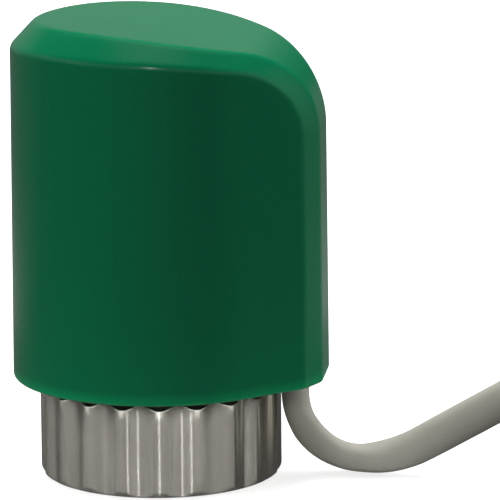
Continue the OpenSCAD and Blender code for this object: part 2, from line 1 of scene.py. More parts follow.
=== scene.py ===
"""An electric valve actuator driven by a wax motor.

It stands upright on its union nut with its axis on Z. The front is -Y. The flat
end of the green cover and the grey cable lie towards +X. Shapes are worked out in
millimetres and turned into metres as each mesh is made; materials, lights and
the camera are in metres.
"""

from math import asin, atan, cos, degrees, exp, hypot, pi, radians, sin, sqrt, tan

import bmesh
import bpy
from mathutils import Matrix, Vector

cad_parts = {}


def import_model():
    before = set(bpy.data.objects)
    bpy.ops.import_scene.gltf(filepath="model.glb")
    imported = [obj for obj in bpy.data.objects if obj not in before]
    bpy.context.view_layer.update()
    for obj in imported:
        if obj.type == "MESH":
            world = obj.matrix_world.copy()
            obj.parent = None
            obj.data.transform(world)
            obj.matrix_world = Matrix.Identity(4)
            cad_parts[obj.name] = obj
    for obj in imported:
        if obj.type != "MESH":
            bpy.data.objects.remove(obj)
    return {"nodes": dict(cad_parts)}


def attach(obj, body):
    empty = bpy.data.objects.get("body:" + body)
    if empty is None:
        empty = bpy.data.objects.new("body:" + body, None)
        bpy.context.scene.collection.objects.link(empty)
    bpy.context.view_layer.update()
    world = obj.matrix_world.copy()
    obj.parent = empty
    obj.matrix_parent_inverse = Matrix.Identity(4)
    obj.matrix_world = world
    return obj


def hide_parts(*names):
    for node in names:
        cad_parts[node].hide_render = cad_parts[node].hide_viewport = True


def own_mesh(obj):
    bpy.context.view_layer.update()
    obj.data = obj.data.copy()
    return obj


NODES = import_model()["nodes"]
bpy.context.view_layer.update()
MM = 0.001
MATERIALS = {}


# ------------------------------------------------------------------ node graphs
class Graph:
    """The node tree of a material or world, with short calls to add nodes."""

    def __init__(self, owner):
        owner.use_nodes = True
        self.tree = owner.node_tree
        self.tree.nodes.clear()

    def add(self, kind, inputs=None, **settings):
        node = self.tree.nodes.new(kind)
        for key, value in settings.items():
            setattr(node, key, value)
        self.feed(node, inputs or {})
        return node

    def feed(self, node, inputs):
        """Links each input to a socket, or sets it to a value."""
        for key, value in inputs.items():
            socket = node.inputs[key]
            if isinstance(value, bpy.types.NodeSocket):
                self.tree.links.new(value, socket)
                continue
            if socket.type == "RGBA" and len(value) == 3:
                value = (*value, 1)
            socket.default_value = value

    def math(self, operation, first, second):
        return self.add("ShaderNodeMath", {0: first, 1: second}, operation=operation).outputs[0]

    def step(self, value, start, end, low=0.0, high=1.0):
        """Passes smoothly from low at start to high at end."""
        inputs = {"From Min": start, "From Max": end, "To Min": low, "To Max": high, "Value": value}
        return self.add("ShaderNodeMapRange", inputs, interpolation_type="SMOOTHSTEP").outputs[0]

    def separate(self, vector):
        return self.add("ShaderNodeSeparateXYZ", {0: vector}).outputs

    def mix_shaders(self, factor, first, second):
        inputs = {0: factor, 1: first, 2: second}
        return self.add("ShaderNodeMixShader", inputs).outputs[0]


class Material(Graph):
    """A Principled material in object coordinates, kept in MATERIALS."""

    def __init__(self, name):
        material = bpy.data.materials.new(name)
        super().__init__(material)
        MATERIALS[name] = material
        self.principled = self.add("ShaderNodeBsdfPrincipled")
        self.add("ShaderNodeOutputMaterial", {0: self.principled.outputs[0]})
        self.place = self.add("ShaderNodeTexCoord").outputs["Object"]

    def noise(self, scale=1.0, detail=3.0, rough=0.55, stretch=None, turn=(0, 0, 0),
              distortion=0.0):
        """Noise; stretch is a further scale along each axis."""
        vector = self.place
        if stretch:
            inputs = {"Scale": stretch, "Rotation": turn, "Vector": vector}
            vector = self.add("ShaderNodeMapping", inputs).outputs[0]
        return self.add("ShaderNodeTexNoise", {
            "Scale": scale, "Detail": detail, "Roughness": rough,
            "Distortion": distortion, "Vector": vector}).outputs["Fac"]

    def ramp(self, texture, low, high, first=(0, 0, 0), last=(1, 1, 1)):
        node = self.add("ShaderNodeValToRGB", {0: texture})
        for stop, position, colour in zip(node.color_ramp.elements, (low, high), (first, last)):
            stop.position = position
            stop.color = (*colour, 1)
        return node.outputs[0]

    def mix(self, factor, first, second):
        inputs = {0: factor, 6: first, 7: second}
        return self.add("ShaderNodeMix", inputs, data_type="RGBA").outputs[2]

    def mottle(self, colour, texture, low, high, dark, light):
        """The colour made darker and lighter by the texture."""
        return self.mix(self.ramp(texture, low, high), scaled(colour, dark), scaled(colour, light))

    def flecks(self, base, texture, low, high, amount, colour):
        """Lays part of a colour over the base where the texture is high."""
        cover = self.math("MULTIPLY", self.ramp(texture, low, high), amount)
        return self.mix(cover, base, colour)

    def vary(self, base, *swings):
        """A base value plus one or two (texture, amount) swings."""
        terms = [self.math("MULTIPLY", texture, amount) for texture, amount in swings]
        total = terms[0] if len(terms) == 1 else self.math("ADD", *terms)
        return self.math("ADD", base, total)

    def bump(self, height, strength, distance, under=None):
        inputs = {"Strength": strength, "Distance": distance, "Height": height}
        if under is not None:
            inputs["Normal"] = under
        return self.add("ShaderNodeBump", inputs).outputs[0]

    def set(self, **inputs):
        """Sets Principled inputs; an underscore stands for a space."""
        self.feed(self.principled, {key.replace("_", " "): v for key, v in inputs.items()})

    def set_turned(self, amount):
        """Draws reflections out as lathe marks round the Z axis do."""
        tangent = self.add("ShaderNodeTangent", direction_type="RADIAL", axis="Z").outputs[0]
        self.set(Anisotropic=amount, Anisotropic_Rotation=0.25, Tangent=tangent)


def srgb(*channels):
    """sRGB 0..255 to linear."""
    linear = []
    for c in channels:
        c /= 255
        linear.append(c / 12.92 if c <= 0.04045 else ((c + 0.055) / 1.055) ** 2.4)
    return tuple(linear)


def scaled(colour, factor):
    return tuple(min(1, c * factor) for c in colour)


# ------------------------------------------------------------------ materials
# name, sRGB colour, roughness, grain scale, colour swing, grain bump, flow scale, IOR, coat
PLASTICS = (
    ("base_black", (34, 34, 35), 0.46, 1100, 0.16, 0.22, 90, 1.5, 0.0),
    ("acetal_white", (226, 223, 212), 0.34, 800, 0.04, 0.10, 70, 1.5, 0.1),
    ("block_grey", (84, 88, 92), 0.42, 950, 0.12, 0.2, 110, 1.5, 0.0),
    ("gasket_rubber", (26, 26, 27), 0.72, 1500, 0.2, 0.45, 160, 1.45, 0.0),
    ("boot_rubber", (38, 33, 30), 0.66, 1200, 0.18, 0.35, 200, 1.45, 0.0),
    ("lead_red", (176, 34, 26), 0.38, 1800, 0.08, 0.12, 220, 1.5, 0.2),
    ("lead_black", (30, 30, 32), 0.36, 1800, 0.12, 0.12, 220, 1.5, 0.2),
    ("core_brown", (98, 56, 30), 0.37, 1800, 0.08, 0.12, 220, 1.5, 0.2),
    ("core_blue", (36, 92, 170), 0.37, 1800, 0.08, 0.12, 220, 1.5, 0.2),
    ("varistor_blue", (30, 74, 158), 0.3, 700, 0.1, 0.3, 260, 1.5, 0.5),
    ("ceramic_ivory", (226, 219, 198), 0.5, 2200, 0.06, 0.35, 180, 1.55, 0.0),
    ("wax", (232, 216, 164), 0.45, 500, 0.06, 0.3, 120, 1.44, 0.0),
)

# name, sRGB colour, roughness, grain direction, grain scale, colour swing, grain bump,
# anisotropy, spot amount, sRGB spot colour (None: a darker shade of the metal)
METALS = (
    ("collar_brass", (205, 178, 112), 0.3, "turned", 2000, 0.07, 0.14, 0.5, 0.2, (150, 120, 66)),
    ("motor_brass", (206, 172, 96), 0.33, "turned", 1600, 0.09, 0.16, 0.5, 0.3, (140, 104, 50)),
    ("contact_brass", (214, 186, 118), 0.36, "x", 900, 0.06, 0.14, 0.0, 0.25, (160, 128, 70)),
    ("spring_steel", (150, 152, 158), 0.3, "even", 1500, 0.1, 0.2, 0.0, 0.3, (92, 92, 96)),
    ("zinc_steel", (188, 191, 196), 0.34, "even", 1100, 0.08, 0.18, 0.0, 0.25, (140, 146, 150)),
    ("tin", (206, 208, 210), 0.3, "x", 700, 0.05, 0.12, 0.0, 0.15, None),
    ("copper", (200, 122, 84), 0.3, "even", 2200, 0.1, 0.3, 0.0, 0.2, None),
)


def make_plastic(name, shade, rough, grain, swing, grain_bump, flow, ior, coat):
    t = Material(name)
    colour = srgb(*shade)
    fine = t.noise(scale=grain, detail=2, rough=0.5)
    base = t.mottle(colour, t.noise(scale=flow, detail=4, rough=0.6),
                    low=0.3, high=0.7, dark=1 - swing, light=1 + swing)
    base = t.flecks(base, fine, low=0.55, high=0.8, amount=0.25, colour=scaled(colour, 1.35))
    waves = t.bump(t.noise(scale=flow * 2.3, detail=2), strength=0.05, distance=0.0004)
    t.set(Base_Color=base, IOR=ior, Coat_Weight=coat, Coat_Roughness=0.1,
          Roughness=t.vary(rough - 0.05, (t.noise(scale=flow * 3, detail=3), 0.1)),
          Normal=t.bump(fine, strength=grain_bump, distance=0.00004, under=waves))


def make_metal(name, shade, rough, direction, grain, swing, grain_bump, aniso, spots, stain):
    t = Material(name)
    colour = srgb(*shade)
    stretch = {"turned": (6, 6, grain), "x": (6, grain, grain), "even": (grain * 0.4,) * 3}
    lines = t.noise(detail=3, rough=0.7, stretch=stretch[direction])
    cloud = t.noise(scale=140, detail=4, rough=0.6)
    base = t.mottle(colour, cloud, low=0.3, high=0.75, dark=1 - swing, light=1 + swing)
    base = t.flecks(base, t.noise(scale=420, detail=5, rough=0.7), low=0.6, high=0.78,
                    amount=spots, colour=srgb(*stain) if stain else scaled(colour, 0.55))
    waves = t.bump(cloud, strength=0.04, distance=0.0002)
    t.set(Base_Color=base, Metallic=1.0,
          Roughness=t.vary(rough - 0.08, (lines, 0.1), (cloud, 0.08)),
          Normal=t.bump(lines, strength=grain_bump, distance=0.00002, under=waves))
    if aniso:
        t.set_turned(aniso)


def make_hood_green():
    """Glossy moulded cover."""
    t = Material("hood_green")
    flow = t.noise(scale=34, detail=3, rough=0.5, stretch=(1, 1, 0.55), distortion=0.4)
    base = t.mottle(srgb(5, 99, 64), flow, low=0.25, high=0.75, dark=0.955, light=1.045)
    base = t.flecks(base, t.noise(scale=2600, detail=2, rough=0.4),
                    low=0.66, high=0.74, amount=0.10, colour=srgb(80, 150, 118))
    # painted light: the thin lip is made a brighter green, standing in for the light the white
    # floor throws up onto it
    painted_lip_light = t.step(t.separate(t.place)[2], start=0.0070, end=0.0048)
    base = t.mix(painted_lip_light, base, srgb(6, 130, 80))
    scuff = t.noise(detail=4, rough=0.65, stretch=(260, 260, 22), turn=(0.25, 0.1, 0.0))
    rough = t.vary(0.19, (t.noise(scale=90, detail=4, rough=0.6), 0.05),
                   (t.ramp(scuff, low=0.62, high=0.75), 0.07))
    waves = t.bump(t.noise(scale=55, detail=2, rough=0.4), strength=0.045, distance=0.0008)
    normal = t.bump(t.noise(scale=2400, detail=3, rough=0.6),
                    strength=0.045, distance=0.00003, under=waves)
    t.set(Base_Color=base, Roughness=rough, IOR=1.5, Normal=normal, Specular_IOR_Level=0.36)


def make_nut_nickel():
    """Nickel-plated turned outside of the nut."""
    t = Material("nut_nickel")
    colour = srgb(214, 210, 200)
    rings = t.noise(detail=4, rough=0.75, stretch=(14, 14, 9000))
    streak = t.noise(detail=3, rough=0.6, stretch=(900, 900, 40))
    drawn = t.noise(detail=3, rough=0.7, stretch=(420, 420, 6))
    cloud = t.noise(scale=150, detail=4, rough=0.6)
    base = t.mottle(colour, cloud, low=0.3, high=0.75, dark=0.92, light=1.05)
    base = t.flecks(base, t.noise(scale=700, detail=3, rough=0.5),
                    low=0.66, high=0.80, amount=0.10, colour=srgb(120, 112, 100))
    base = t.mix(t.ramp(drawn, low=0.35, high=0.68), scaled(colour, 0.80), base)
    fine = t.bump(streak, strength=0.012, distance=0.00003)
    t.set(Base_Color=base, Metallic=1.0, Roughness=t.vary(0.23, (rings, 0.012), (cloud, 0.05)),
          Normal=t.bump(drawn, strength=0.035, distance=0.00006, under=fine))
    t.set_turned(1.0)


def make_nut_cut():
    """Smoother cut faces of the same nut: the chamfer, the top face and the bore."""
    t = Material("nut_cut")
    cloud = t.ramp(t.noise(scale=220, detail=4, rough=0.6), low=0.3, high=0.75)
    rings = t.noise(detail=3, rough=0.7, stretch=(40, 40, 7000))
    t.set(Base_Color=t.mix(cloud, srgb(184, 180, 170), srgb(204, 200, 190)), Metallic=1.0,
          Roughness=t.vary(0.10, (rings, 0.06)),
          Normal=t.bump(rings, strength=0.02, distance=0.00002))


def make_cable_grey():
    t = Material("cable_grey")
    base = t.mottle(srgb(143, 141, 132), t.noise(scale=120, detail=4, rough=0.6),
                    low=0.3, high=0.7, dark=0.93, light=1.06)
    base = t.flecks(base, t.noise(scale=1700, detail=3, rough=0.6),
                    low=0.62, high=0.72, amount=0.18, colour=srgb(92, 88, 82))
    waves = t.bump(t.noise(scale=180, detail=2), strength=0.05, distance=0.0004)
    t.set(Base_Color=base, IOR=1.48,
          Roughness=t.vary(0.40, (t.noise(scale=260, detail=3), 0.14)),
          Normal=t.bump(t.noise(scale=1300, detail=3, rough=0.6),
                        strength=0.16, distance=0.00005, under=waves))


def make_ptc_ceramic():
    """Dark grained ceramic of the heating disc."""
    t = Material("ptc_ceramic")
    base = t.ramp(t.noise(scale=900, detail=5, rough=0.7), low=0.35, high=0.7,
                  first=srgb(58, 60, 62), last=srgb(104, 106, 108))
    t.set(Base_Color=base, Roughness=t.vary(0.5, (t.noise(scale=400), 0.2)),
          Normal=t.bump(t.noise(scale=1800, detail=4), strength=0.4, distance=0.00006))


def make_board_green():
    """Printed board: traces under the solder mask, drawn as brick joints."""
    t = Material("board_green")
    trace_scale = 620
    _, y, z = t.separate(t.place)
    flat = t.add("ShaderNodeCombineXYZ", {
        0: t.math("MULTIPLY", y, trace_scale), 1: t.math("MULTIPLY", z, trace_scale)})
    traces = t.add("ShaderNodeTexBrick", {
        "Vector": flat.outputs[0], "Scale": 1.0, "Color1": (0, 0, 0),
        "Color2": (0.12, 0.12, 0.12), "Mortar": (1, 1, 1), "Mortar Size": 0.055,
        "Brick Width": 1.9, "Row Height": 0.62}, offset=0.35).outputs[0]
    base = t.mix(t.noise(scale=300, detail=4), srgb(22, 88, 48), srgb(34, 108, 60))
    base = t.mix(t.math("MULTIPLY", traces, 0.8), base, srgb(66, 140, 84))
    fine = t.bump(t.noise(scale=2200), strength=0.1, distance=0.00003)
    t.set(Base_Color=base, Roughness=0.32, Coat_Weight=0.4, Coat_Roughness=0.15,
          Normal=t.bump(traces, strength=0.4, distance=0.00006, under=fine))


make_hood_green()
make_nut_nickel()
make_nut_cut()
make_cable_grey()
for plastic in PLASTICS:
    make_plastic(*plastic)
for metal in METALS:
    make_metal(*metal)
make_ptc_ceramic()
make_board_green()


# ------------------------------------------------------------------ mesh tools
def shade_smooth(mesh, sharp_angle):
    mesh.polygons.foreach_set("use_smooth", [True] * len(mesh.polygons))
    mesh.set_sharp_from_angle(angle=radians(sharp_angle))


def finish(piece, body, node):
    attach(piece, body)
    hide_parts(node)


class MeshBuilder:
    """Collects faces from points in millimetres, welding equal points."""

    def __init__(self):
        self.vertices, self.faces, self.face_slots, self.index = [], [], [], {}

    def point(self, place):
        key = tuple(round(c, 4) for c in place)
        if key not in self.index:
            self.index[key] = len(self.vertices)
            self.vertices.append(tuple(c * MM for c in place))
        return self.index[key]

    def face(self, corners, slot=0):
        """Corners are points or vertex numbers; equal neighbours become one."""
        ids = []
        for corner in corners:
            i = corner if isinstance(corner, int) else self.point(corner)
            if not ids or ids[-1] != i:
                ids.append(i)
        if len(ids) > 1 and ids[0] == ids[-1]:
            ids.pop()
        if len(set(ids)) == len(ids) and len(ids) > 2:
            self.faces.append(ids)
            self.face_slots.append(slot)

    def grid(self, rows, close_rows=False, close_rings=False, flip=False, bands=None):
        """Quads between rows of points; bands gives the slot after each row."""
        ids = [[self.point(q) for q in row] for row in rows]
        across, along = len(rows), len(rows[0])
        for i in range(across if close_rows else across - 1):
            a, b = ids[i], ids[(i + 1) % across]
            for j in range(along if close_rings else along - 1):
                k = (j + 1) % along
                quad = [a[j], b[j], b[k], a[k]]
                self.face(quad[::-1] if flip else quad, bands[i] if bands else 0)

    def lathe(self, profile, segments, centre=(0, 0, 0), tilt=None, shape=None):
        """Revolves a closed (r, z) profile; shape(r, z, angle) may change the radius."""
        rows = []
        for i in range(segments):
            angle = 2 * pi * i / segments
            row = []
            for r, z in profile:
                radius = shape(r, z, angle) if shape else r
                q = Vector((radius * cos(angle), radius * sin(angle), z))
                if tilt is not None:
                    q = tilt @ q
                row.append((q.x + centre[0], q.y + centre[1], q.z + centre[2]))
            rows.append(row)
        self.grid(rows, close_rows=True, close_rings=True)

    def cap(self, ring, slot=0, dome=Vector()):
        """Closes a ring with a fan whose middle is pushed out by dome."""
        centre = sum((Vector(q) for q in ring), Vector()) / len(ring)
        middle = [Vector(q).lerp(centre, 0.5) + dome * 0.75 for q in ring]
        top = centre + dome
        for j in range(len(ring)):
            k = (j + 1) % len(ring)
            self.face([ring[j], ring[k], middle[k], middle[j]], slot)
            self.face([middle[j], middle[k], top], slot)

    def make_object(self, name, materials, sharp_angle):
        mesh = bpy.data.meshes.new(name)
        mesh.from_pydata(self.vertices, [], self.faces)
        mesh.validate()
        for key in materials:
            mesh.materials.append(MATERIALS[key])
        # validate() may drop faces, and then the slots would no longer line up
        if len(self.face_slots) == len(mesh.polygons):
            mesh.polygons.foreach_set("material_index", self.face_slots)
        mesh.update()
        bm = bmesh.new()
        bm.from_mesh(mesh)
        bmesh.ops.recalc_face_normals(bm, faces=bm.faces)
        bm.to_mesh(mesh)
        bm.free()
        shade_smooth(mesh, sharp_angle)
        mesh.update()
        piece = bpy.data.objects.new(name, mesh)
        bpy.context.scene.collection.objects.link(piece)
        return piece

    def make_piece(self, name, materials, sharp_angle, body, node):
        """An object attached to its body, with the CAD node it replaces hidden."""
        piece = self.make_object(name, materials, sharp_angle)
        finish(piece, body, node)
        return piece


def rounded(profile, default_fillet, steps=4):
    """Fillets a closed (r, z[, fillet]) polygon; points on the axis stay sharp."""
    points = []
    for i, entry in enumerate(profile):
        fillet = entry[2] if len(entry) > 2 else default_fillet
        corner = Vector(entry[:2])
        before = Vector(profile[i - 1][:2]) - corner
        after = Vector(profile[(i + 1) % len(profile)][:2]) - corner
        fillet = min(fillet, before.length * 0.42, after.length * 0.42)
        if entry[0] < 1e-6 or fillet < 0.004:
            points.append(tuple(corner))
            continue
        start = corner + before * (fillet / before.length)
        end = corner + after * (fillet / after.length)
        for k in range(steps + 1):
            s = k / steps
            q = start * (1 - s) ** 2 + corner * (2 * s * (1 - s)) + end * s * s
            points.append((q.x, q.y))
    return points


def oval(half_x, half_y, twist, count):
    points = []
    for j in range(count):
        angle = 2 * pi * (j + 0.5) / count
        x, y = half_x * cos(angle), half_y * sin(angle)
        points.append((x * cos(twist) - y * sin(twist), x * sin(twist) + y * cos(twist)))
    return points


def cross_axes(path, i, up):
    """The two directions across the path at point i."""
    ahead = (path[min(i + 1, len(path) - 1)] - path[max(i - 1, 0)]).normalized()
    first = up.cross(ahead).normalized()
    return first, ahead.cross(first)


def sweep_rows(path, section, up=Vector((0, 1, 0))):
    """One ring of points round each path point; section(i) gives its outline."""
    rows = []
    for i, p in enumerate(path):
        first, second = cross_axes(path, i, up)
        rows.append([p + first * x + second * y for x, y in section(i)])
    return rows


def end_directions(path):
    """Path directions at the first and the last point."""
    return (path[1] - path[0]).normalized(), (path[-1] - path[-2]).normalized()


def shrink(ring, centre, factor):
    return [centre + (q - centre) * factor for q in ring]


def ease_ends(path, rows, first_factor, last_factor, set_in=0.12):
    """Breaks both end edges: a smaller end ring, then the full ring set in a little."""
    start, end = end_directions(path)
    return ([shrink(rows[0], path[0], first_factor), [q + start * set_in for q in rows[0]]]
            + rows[1:-1]
            + [[q - end * set_in for q in rows[-1]], shrink(rows[-1], path[-1], last_factor)])


def smooth_path(points, density):
    """Catmull-Rom curve through the points, density steps to every 2 mm."""
    knots = [Vector(p) for p in points]
    path = []
    for i in range(len(knots) - 1):
        p0, p1, p2 = knots[max(i - 1, 0)], knots[i], knots[i + 1]
        p3 = knots[min(i + 2, len(knots) - 1)]
        steps = max(2, int(density * (p2 - p1).length / 2.0) + 1)
        for k in range(steps):
            s = k / steps
            path.append(0.5 * ((2 * p1) + (p2 - p0) * s + (2 * p0 - 5 * p1 + 4 * p2 - p3) * s * s
                               + (3 * p1 - p0 - 3 * p2 + p3) * s ** 3))
    path.append(knots[-1])
    return path


# ------------------------------------------------------------------ cover
# In plan: a round body whose side walls run on straight to a flat end at +X.
# In side view: a wide crown arc, then a tighter bend down into the flat end.
HOOD_RADIUS = 21.0
FLAT_X = 23.8
WALL_ANGLE = radians(41)  # of the straight side walls to X
RIM_Z = 4.8
RIM_ROUND = 0.60
EDGE_ROUND = 0.72  # along both edges of the outer chamfer
BEND_RADIUS = 13.0
BEND_X = FLAT_X - BEND_RADIUS
BEND_Z = 41.2
BEND_START = radians(13.2)  # from the vertical
CROWN_RADIUS = 112.0
CROWN_X = BEND_X + (BEND_RADIUS - CROWN_RADIUS) * sin(BEND_START)
CROWN_Z = BEND_Z + (BEND_RADIUS - CROWN_RADIUS) * cos(BEND_START)
HOOD_WALL = 2.6
REBATE_WALL = 2.0  # thinner wall between the rim and the inner step
REBATE_TOP = 8.1
REBATE_EDGE = 0.12
DRAFT = 0.30  # growth of the radius from the draft's top to its foot
DRAFT_TOP, DRAFT_HEIGHT = 48, 43.0
# (angle about Z in degrees, sideways offset) of the hook pockets inside the wall
POCKETS = ((-49, -4.6), (49, 4.6), (-138, 0), (138, 0))
# pocket extent across, outwards from its place on the wall, and in height
POCKET_X, POCKET_Y, POCKET_Z = (-2.7, 2.7), (-1.6, 1.5), (14.9, 17.2)
POCKET_SET_IN = 0.3
# stations round the left half, along the crown, round the bend and down the walls
ROUND_STEPS, CROWN_STEPS, BEND_STEPS, WALL_STEPS = 64, 10, 34, 26
# points along each chamfer edge round, across the chamfer and on to the middle plane
EDGE_STEPS, CHAMFER_STEPS, TOP_STEPS = 4, 4, 14


def chamfer_size(x):
    return 2.75 - 0.034 * x + 0.40 * exp(-((x + 6) / 9) ** 2)


def half_width(x, inset):
    r = HOOD_RADIUS - inset
    if x < r * sin(WALL_ANGLE):
        return sqrt(max(0.0, r * r - x * x))
    return (r - x * sin(WALL_ANGLE)) / cos(WALL_ANGLE)


def bend_x(angle, inset):
    return BEND_X + (BEND_RADIUS - inset) * sin(angle)


def top_z(x, inset):
    if x < bend_x(BEND_START, inset):
        return CROWN_Z + sqrt((CROWN_RADIUS - inset) ** 2 - (x - CROWN_X) ** 2)
    rise = (BEND_RADIUS - inset) ** 2 - (x - FLAT_X + BEND_RADIUS) ** 2
    return BEND_Z + sqrt(max(0.0, rise))


def round_corner(start, corner, end, steps):
    return [start * ((1 - s) ** 2) + corner * (2 * s * (1 - s)) + end * (s * s)
            for s in [k / steps for k in range(steps + 1)]]


def hood_row(low, high, down, middle, level, inset, edge_round):
    """Points from the wall over the chamfer (low to high edge) to the middle plane.

    The row keeps to the height level, or follows the top when level is None."""
    slope = high - low
    length = slope.length
    slope.normalize()
    cut = min(edge_round, length * 0.3)
    inward = Vector((middle.x - high.x, middle.y - high.y, 0))
    reach = inward.length
    inward.normalize()

    def top(distance):
        q = Vector((high.x, high.y, 0)) + inward * distance
        q.z = level if level is not None else top_z(q.x, inset)
        return q

    if edge_round > 0:
        after_low, before_high = low + slope * cut, high - slope * cut
        row = round_corner(low + down * cut, low, after_low, EDGE_STEPS)
        row += [after_low.lerp(before_high, j / CHAMFER_STEPS) for j in range(1, CHAMFER_STEPS)]
        row += round_corner(before_high, high, top(cut), EDGE_STEPS)
    else:
        cut = 0.0
        row = [low.copy() for _ in range(EDGE_STEPS + 1)]
        row += [low.lerp(high, j / CHAMFER_STEPS) for j in range(1, CHAMFER_STEPS)]
        row += [high.copy() for _ in range(EDGE_STEPS + 1)]
    for j in range(1, TOP_STEPS + 1):
        row.append(top(cut + (reach - cut) * (j / TOP_STEPS)))
    return row


def hood_skin(inset, chamfer_cut, edge_round, bottom):
    """Front half of one skin, as top rows, wall rows and its bottom outline.

    A top row runs from the wall over the chamfer to the middle plane, a wall row
    from the chamfer down to the bottom, the outline from the left pole to the flat."""
    along_wall = Vector((cos(WALL_ANGLE), sin(WALL_ANGLE), 0))
    straight_down = Vector((0, 0, -1))
    stations = []
    radius = HOOD_RADIUS - inset
    for i in range(ROUND_STEPS):
        a = -pi / 2 + (pi / 2) * i / ROUND_STEPS
        chamfer = chamfer_size(radius * sin(a)) - chamfer_cut
        inner = radius - chamfer
        low = Vector((radius * sin(a), -radius * cos(a),
                      top_z(radius * sin(a), inset + chamfer)))
        high = Vector((inner * sin(a), -inner * cos(a), top_z(inner * sin(a), inset)))
        stations.append((low, high, straight_down, Vector((0, 0, 0)), None))

    def add_station(x, z, angle, down, level):
        chamfer = chamfer_size(x) - chamfer_cut
        low_x = x - chamfer * sin(angle)
        low = Vector((low_x, -half_width(low_x, inset), z - chamfer * cos(angle)))
        high = Vector((x, -half_width(x, inset + chamfer), z))
        stations.append((low, high, down, Vector((x, 0, 0)), level))

    for i in range(CROWN_STEPS):
        x = bend_x(BEND_START, inset) * (i + 0.5) / CROWN_STEPS
        angle = asin((x - CROWN_X) / (CROWN_RADIUS - inset))
        add_station(x, top_z(x, inset), angle, straight_down, None)
    for i in range(BEND_STEPS + 1):
        t = BEND_START + (pi / 2 - BEND_START) * i / BEND_STEPS
        z = BEND_Z + (BEND_RADIUS - inset) * cos(t)
        down = -(along_wall * (sin(t) * cos(WALL_ANGLE)) + Vector((0, 0, cos(t)))).normalized()
        if i < 3:  # eases from the straight-down direction before the bend
            down = straight_down.lerp(down, i / 3).normalized()
        add_station(bend_x(t, inset), z, t, down, z)

    top_rows = [hood_row(*station, inset, edge_round) for station in stations]
    last = len(stations) - 1
    low, high = stations[last][:2]
    for k in range(1, WALL_STEPS + 1):
        z = low.z + (bottom - low.z) * k / WALL_STEPS
        top_rows.append(hood_row(Vector((low.x, low.y, z)), Vector((high.x, high.y, z)),
                                 -along_wall, Vector((high.x, 0, 0)), z, inset, edge_round))
    wall = []
    for i in range(last):
        p = top_rows[i][0]
        wall.append([Vector((p.x, p.y, p.z + (bottom - p.z) * k / WALL_STEPS))
                     for k in range(WALL_STEPS + 1)])
    wall.append([top_rows[last + k][0] for k in range(WALL_STEPS + 1)])
    return top_rows, wall, [row[-1] for row in wall] + top_rows[-1][1:]


def mirror(rows):
    return [[Vector((q.x, -q.y, q.z)) for q in row] for row in rows]


def full_loop(half):
    """Closes a front half outline with its mirror image, anticlockwise from above."""
    return half + mirror([half])[0][::-1][1:-1]


def inset_loop(loop, inset, z):
    """Moves an anticlockwise loop inwards and sets its height."""
    moved = []
    for i, q in enumerate(loop):
        before, after = loop[i - 1], loop[(i + 1) % len(loop)]
        travel = Vector((after.x - before.x, after.y - before.y))
        if travel.length < 1e-9:  # among repeated points
            travel = Vector((1, 0))
        travel.normalize()
        inward = Vector((-travel.y, travel.x))
        moved.append(Vector((q.x + inward.x * inset, q.y + inward.y * inset, z)))
    return moved


def drafted(rows):
    """Widens the rows towards the rim."""
    result = []
    for row in rows:
        result.append([])
        for x, y, z in row:
            share = max(0.0, min(1.0, (DRAFT_TOP - z) / DRAFT_HEIGHT))
            factor = 1 + DRAFT / HOOD_RADIUS * share
            result[-1].append((x * factor, y * factor, z))
    return result


def add_skin(mesh, top_rows, wall, inner):
    mesh.grid(drafted(top_rows), flip=inner)
    mesh.grid(drafted(mirror(top_rows)), flip=not inner)
    mesh.grid(drafted(wall), flip=not inner)
    mesh.grid(drafted(mirror(wall)), flip=inner)


def make_pocket_cutter():
    mesh = MeshBuilder()
    for degrees_about_z, offset in POCKETS:
        turn = radians(degrees_about_z - 90)
        wall_distance = HOOD_RADIUS - HOOD_WALL - POCKET_SET_IN
        corners = []
        for x in POCKET_X:
            for y in POCKET_Y:
                for z in POCKET_Z:
                    across, out = x + offset, y + wall_distance
                    corners.append((across * cos(turn) - out * sin(turn),
                                    across * sin(turn) + out * cos(turn), z))
        for side in ((0, 1, 3, 2), (4, 6, 7, 5), (0, 4, 5, 1),
                     (2, 3, 7, 6), (0, 2, 6, 4), (1, 5, 7, 3)):
            mesh.face([corners[i] for i in side])
    return mesh.make_object("cover_cut", ["hood_green"], 35)


def build_hood():
    mesh = MeshBuilder()
    top_rows, wall, outline = hood_skin(0.0, 0.0, EDGE_ROUND, RIM_Z + RIM_ROUND)
    add_skin(mesh, top_rows, wall, inner=False)
    top_rows, wall, inner_outline = hood_skin(HOOD_WALL, 0.9, 0.0, REBATE_TOP)
    add_skin(mesh, top_rows, wall, inner=True)
    rebate_outline = hood_skin(REBATE_WALL, 0.7, 0.0, REBATE_TOP)[2]
    outer, rebate = full_loop(outline), full_loop(rebate_outline)
    # from the outer wall round the rim, up the rebate and across its step
    rings = [outer]
    for j in range(1, 7):
        angle = (pi / 2) * j / 6
        rings.append(inset_loop(outer, RIM_ROUND * (1 - cos(angle)),
                                RIM_Z + RIM_ROUND * (1 - sin(angle))))
    rings.append(inset_loop(rebate, -REBATE_EDGE, RIM_Z))
    rings.append(inset_loop(rebate, 0, RIM_Z + REBATE_EDGE))
    rings.append(inset_loop(rebate, 0, REBATE_TOP))
    rings.append(full_loop(inner_outline))
    mesh.grid(drafted(rings), close_rings=True)
    hood = mesh.make_object("cover_shell", ["hood_green"], 30)

    cutter = make_pocket_cutter()
    cut = hood.modifiers.new("pockets", "BOOLEAN")
    cut.operation = "DIFFERENCE"
    cut.solver = "EXACT"
    cut.object = cutter
    depsgraph = bpy.context.evaluated_depsgraph_get()
    result = bpy.data.meshes.new_from_object(hood.evaluated_get(depsgraph), depsgraph=depsgraph)
    hood.modifiers.clear()
    hood.data = result
    bpy.data.objects.remove(cutter)
    shade_smooth(result, 30)
    finish(hood, "housing", "housing_cover")


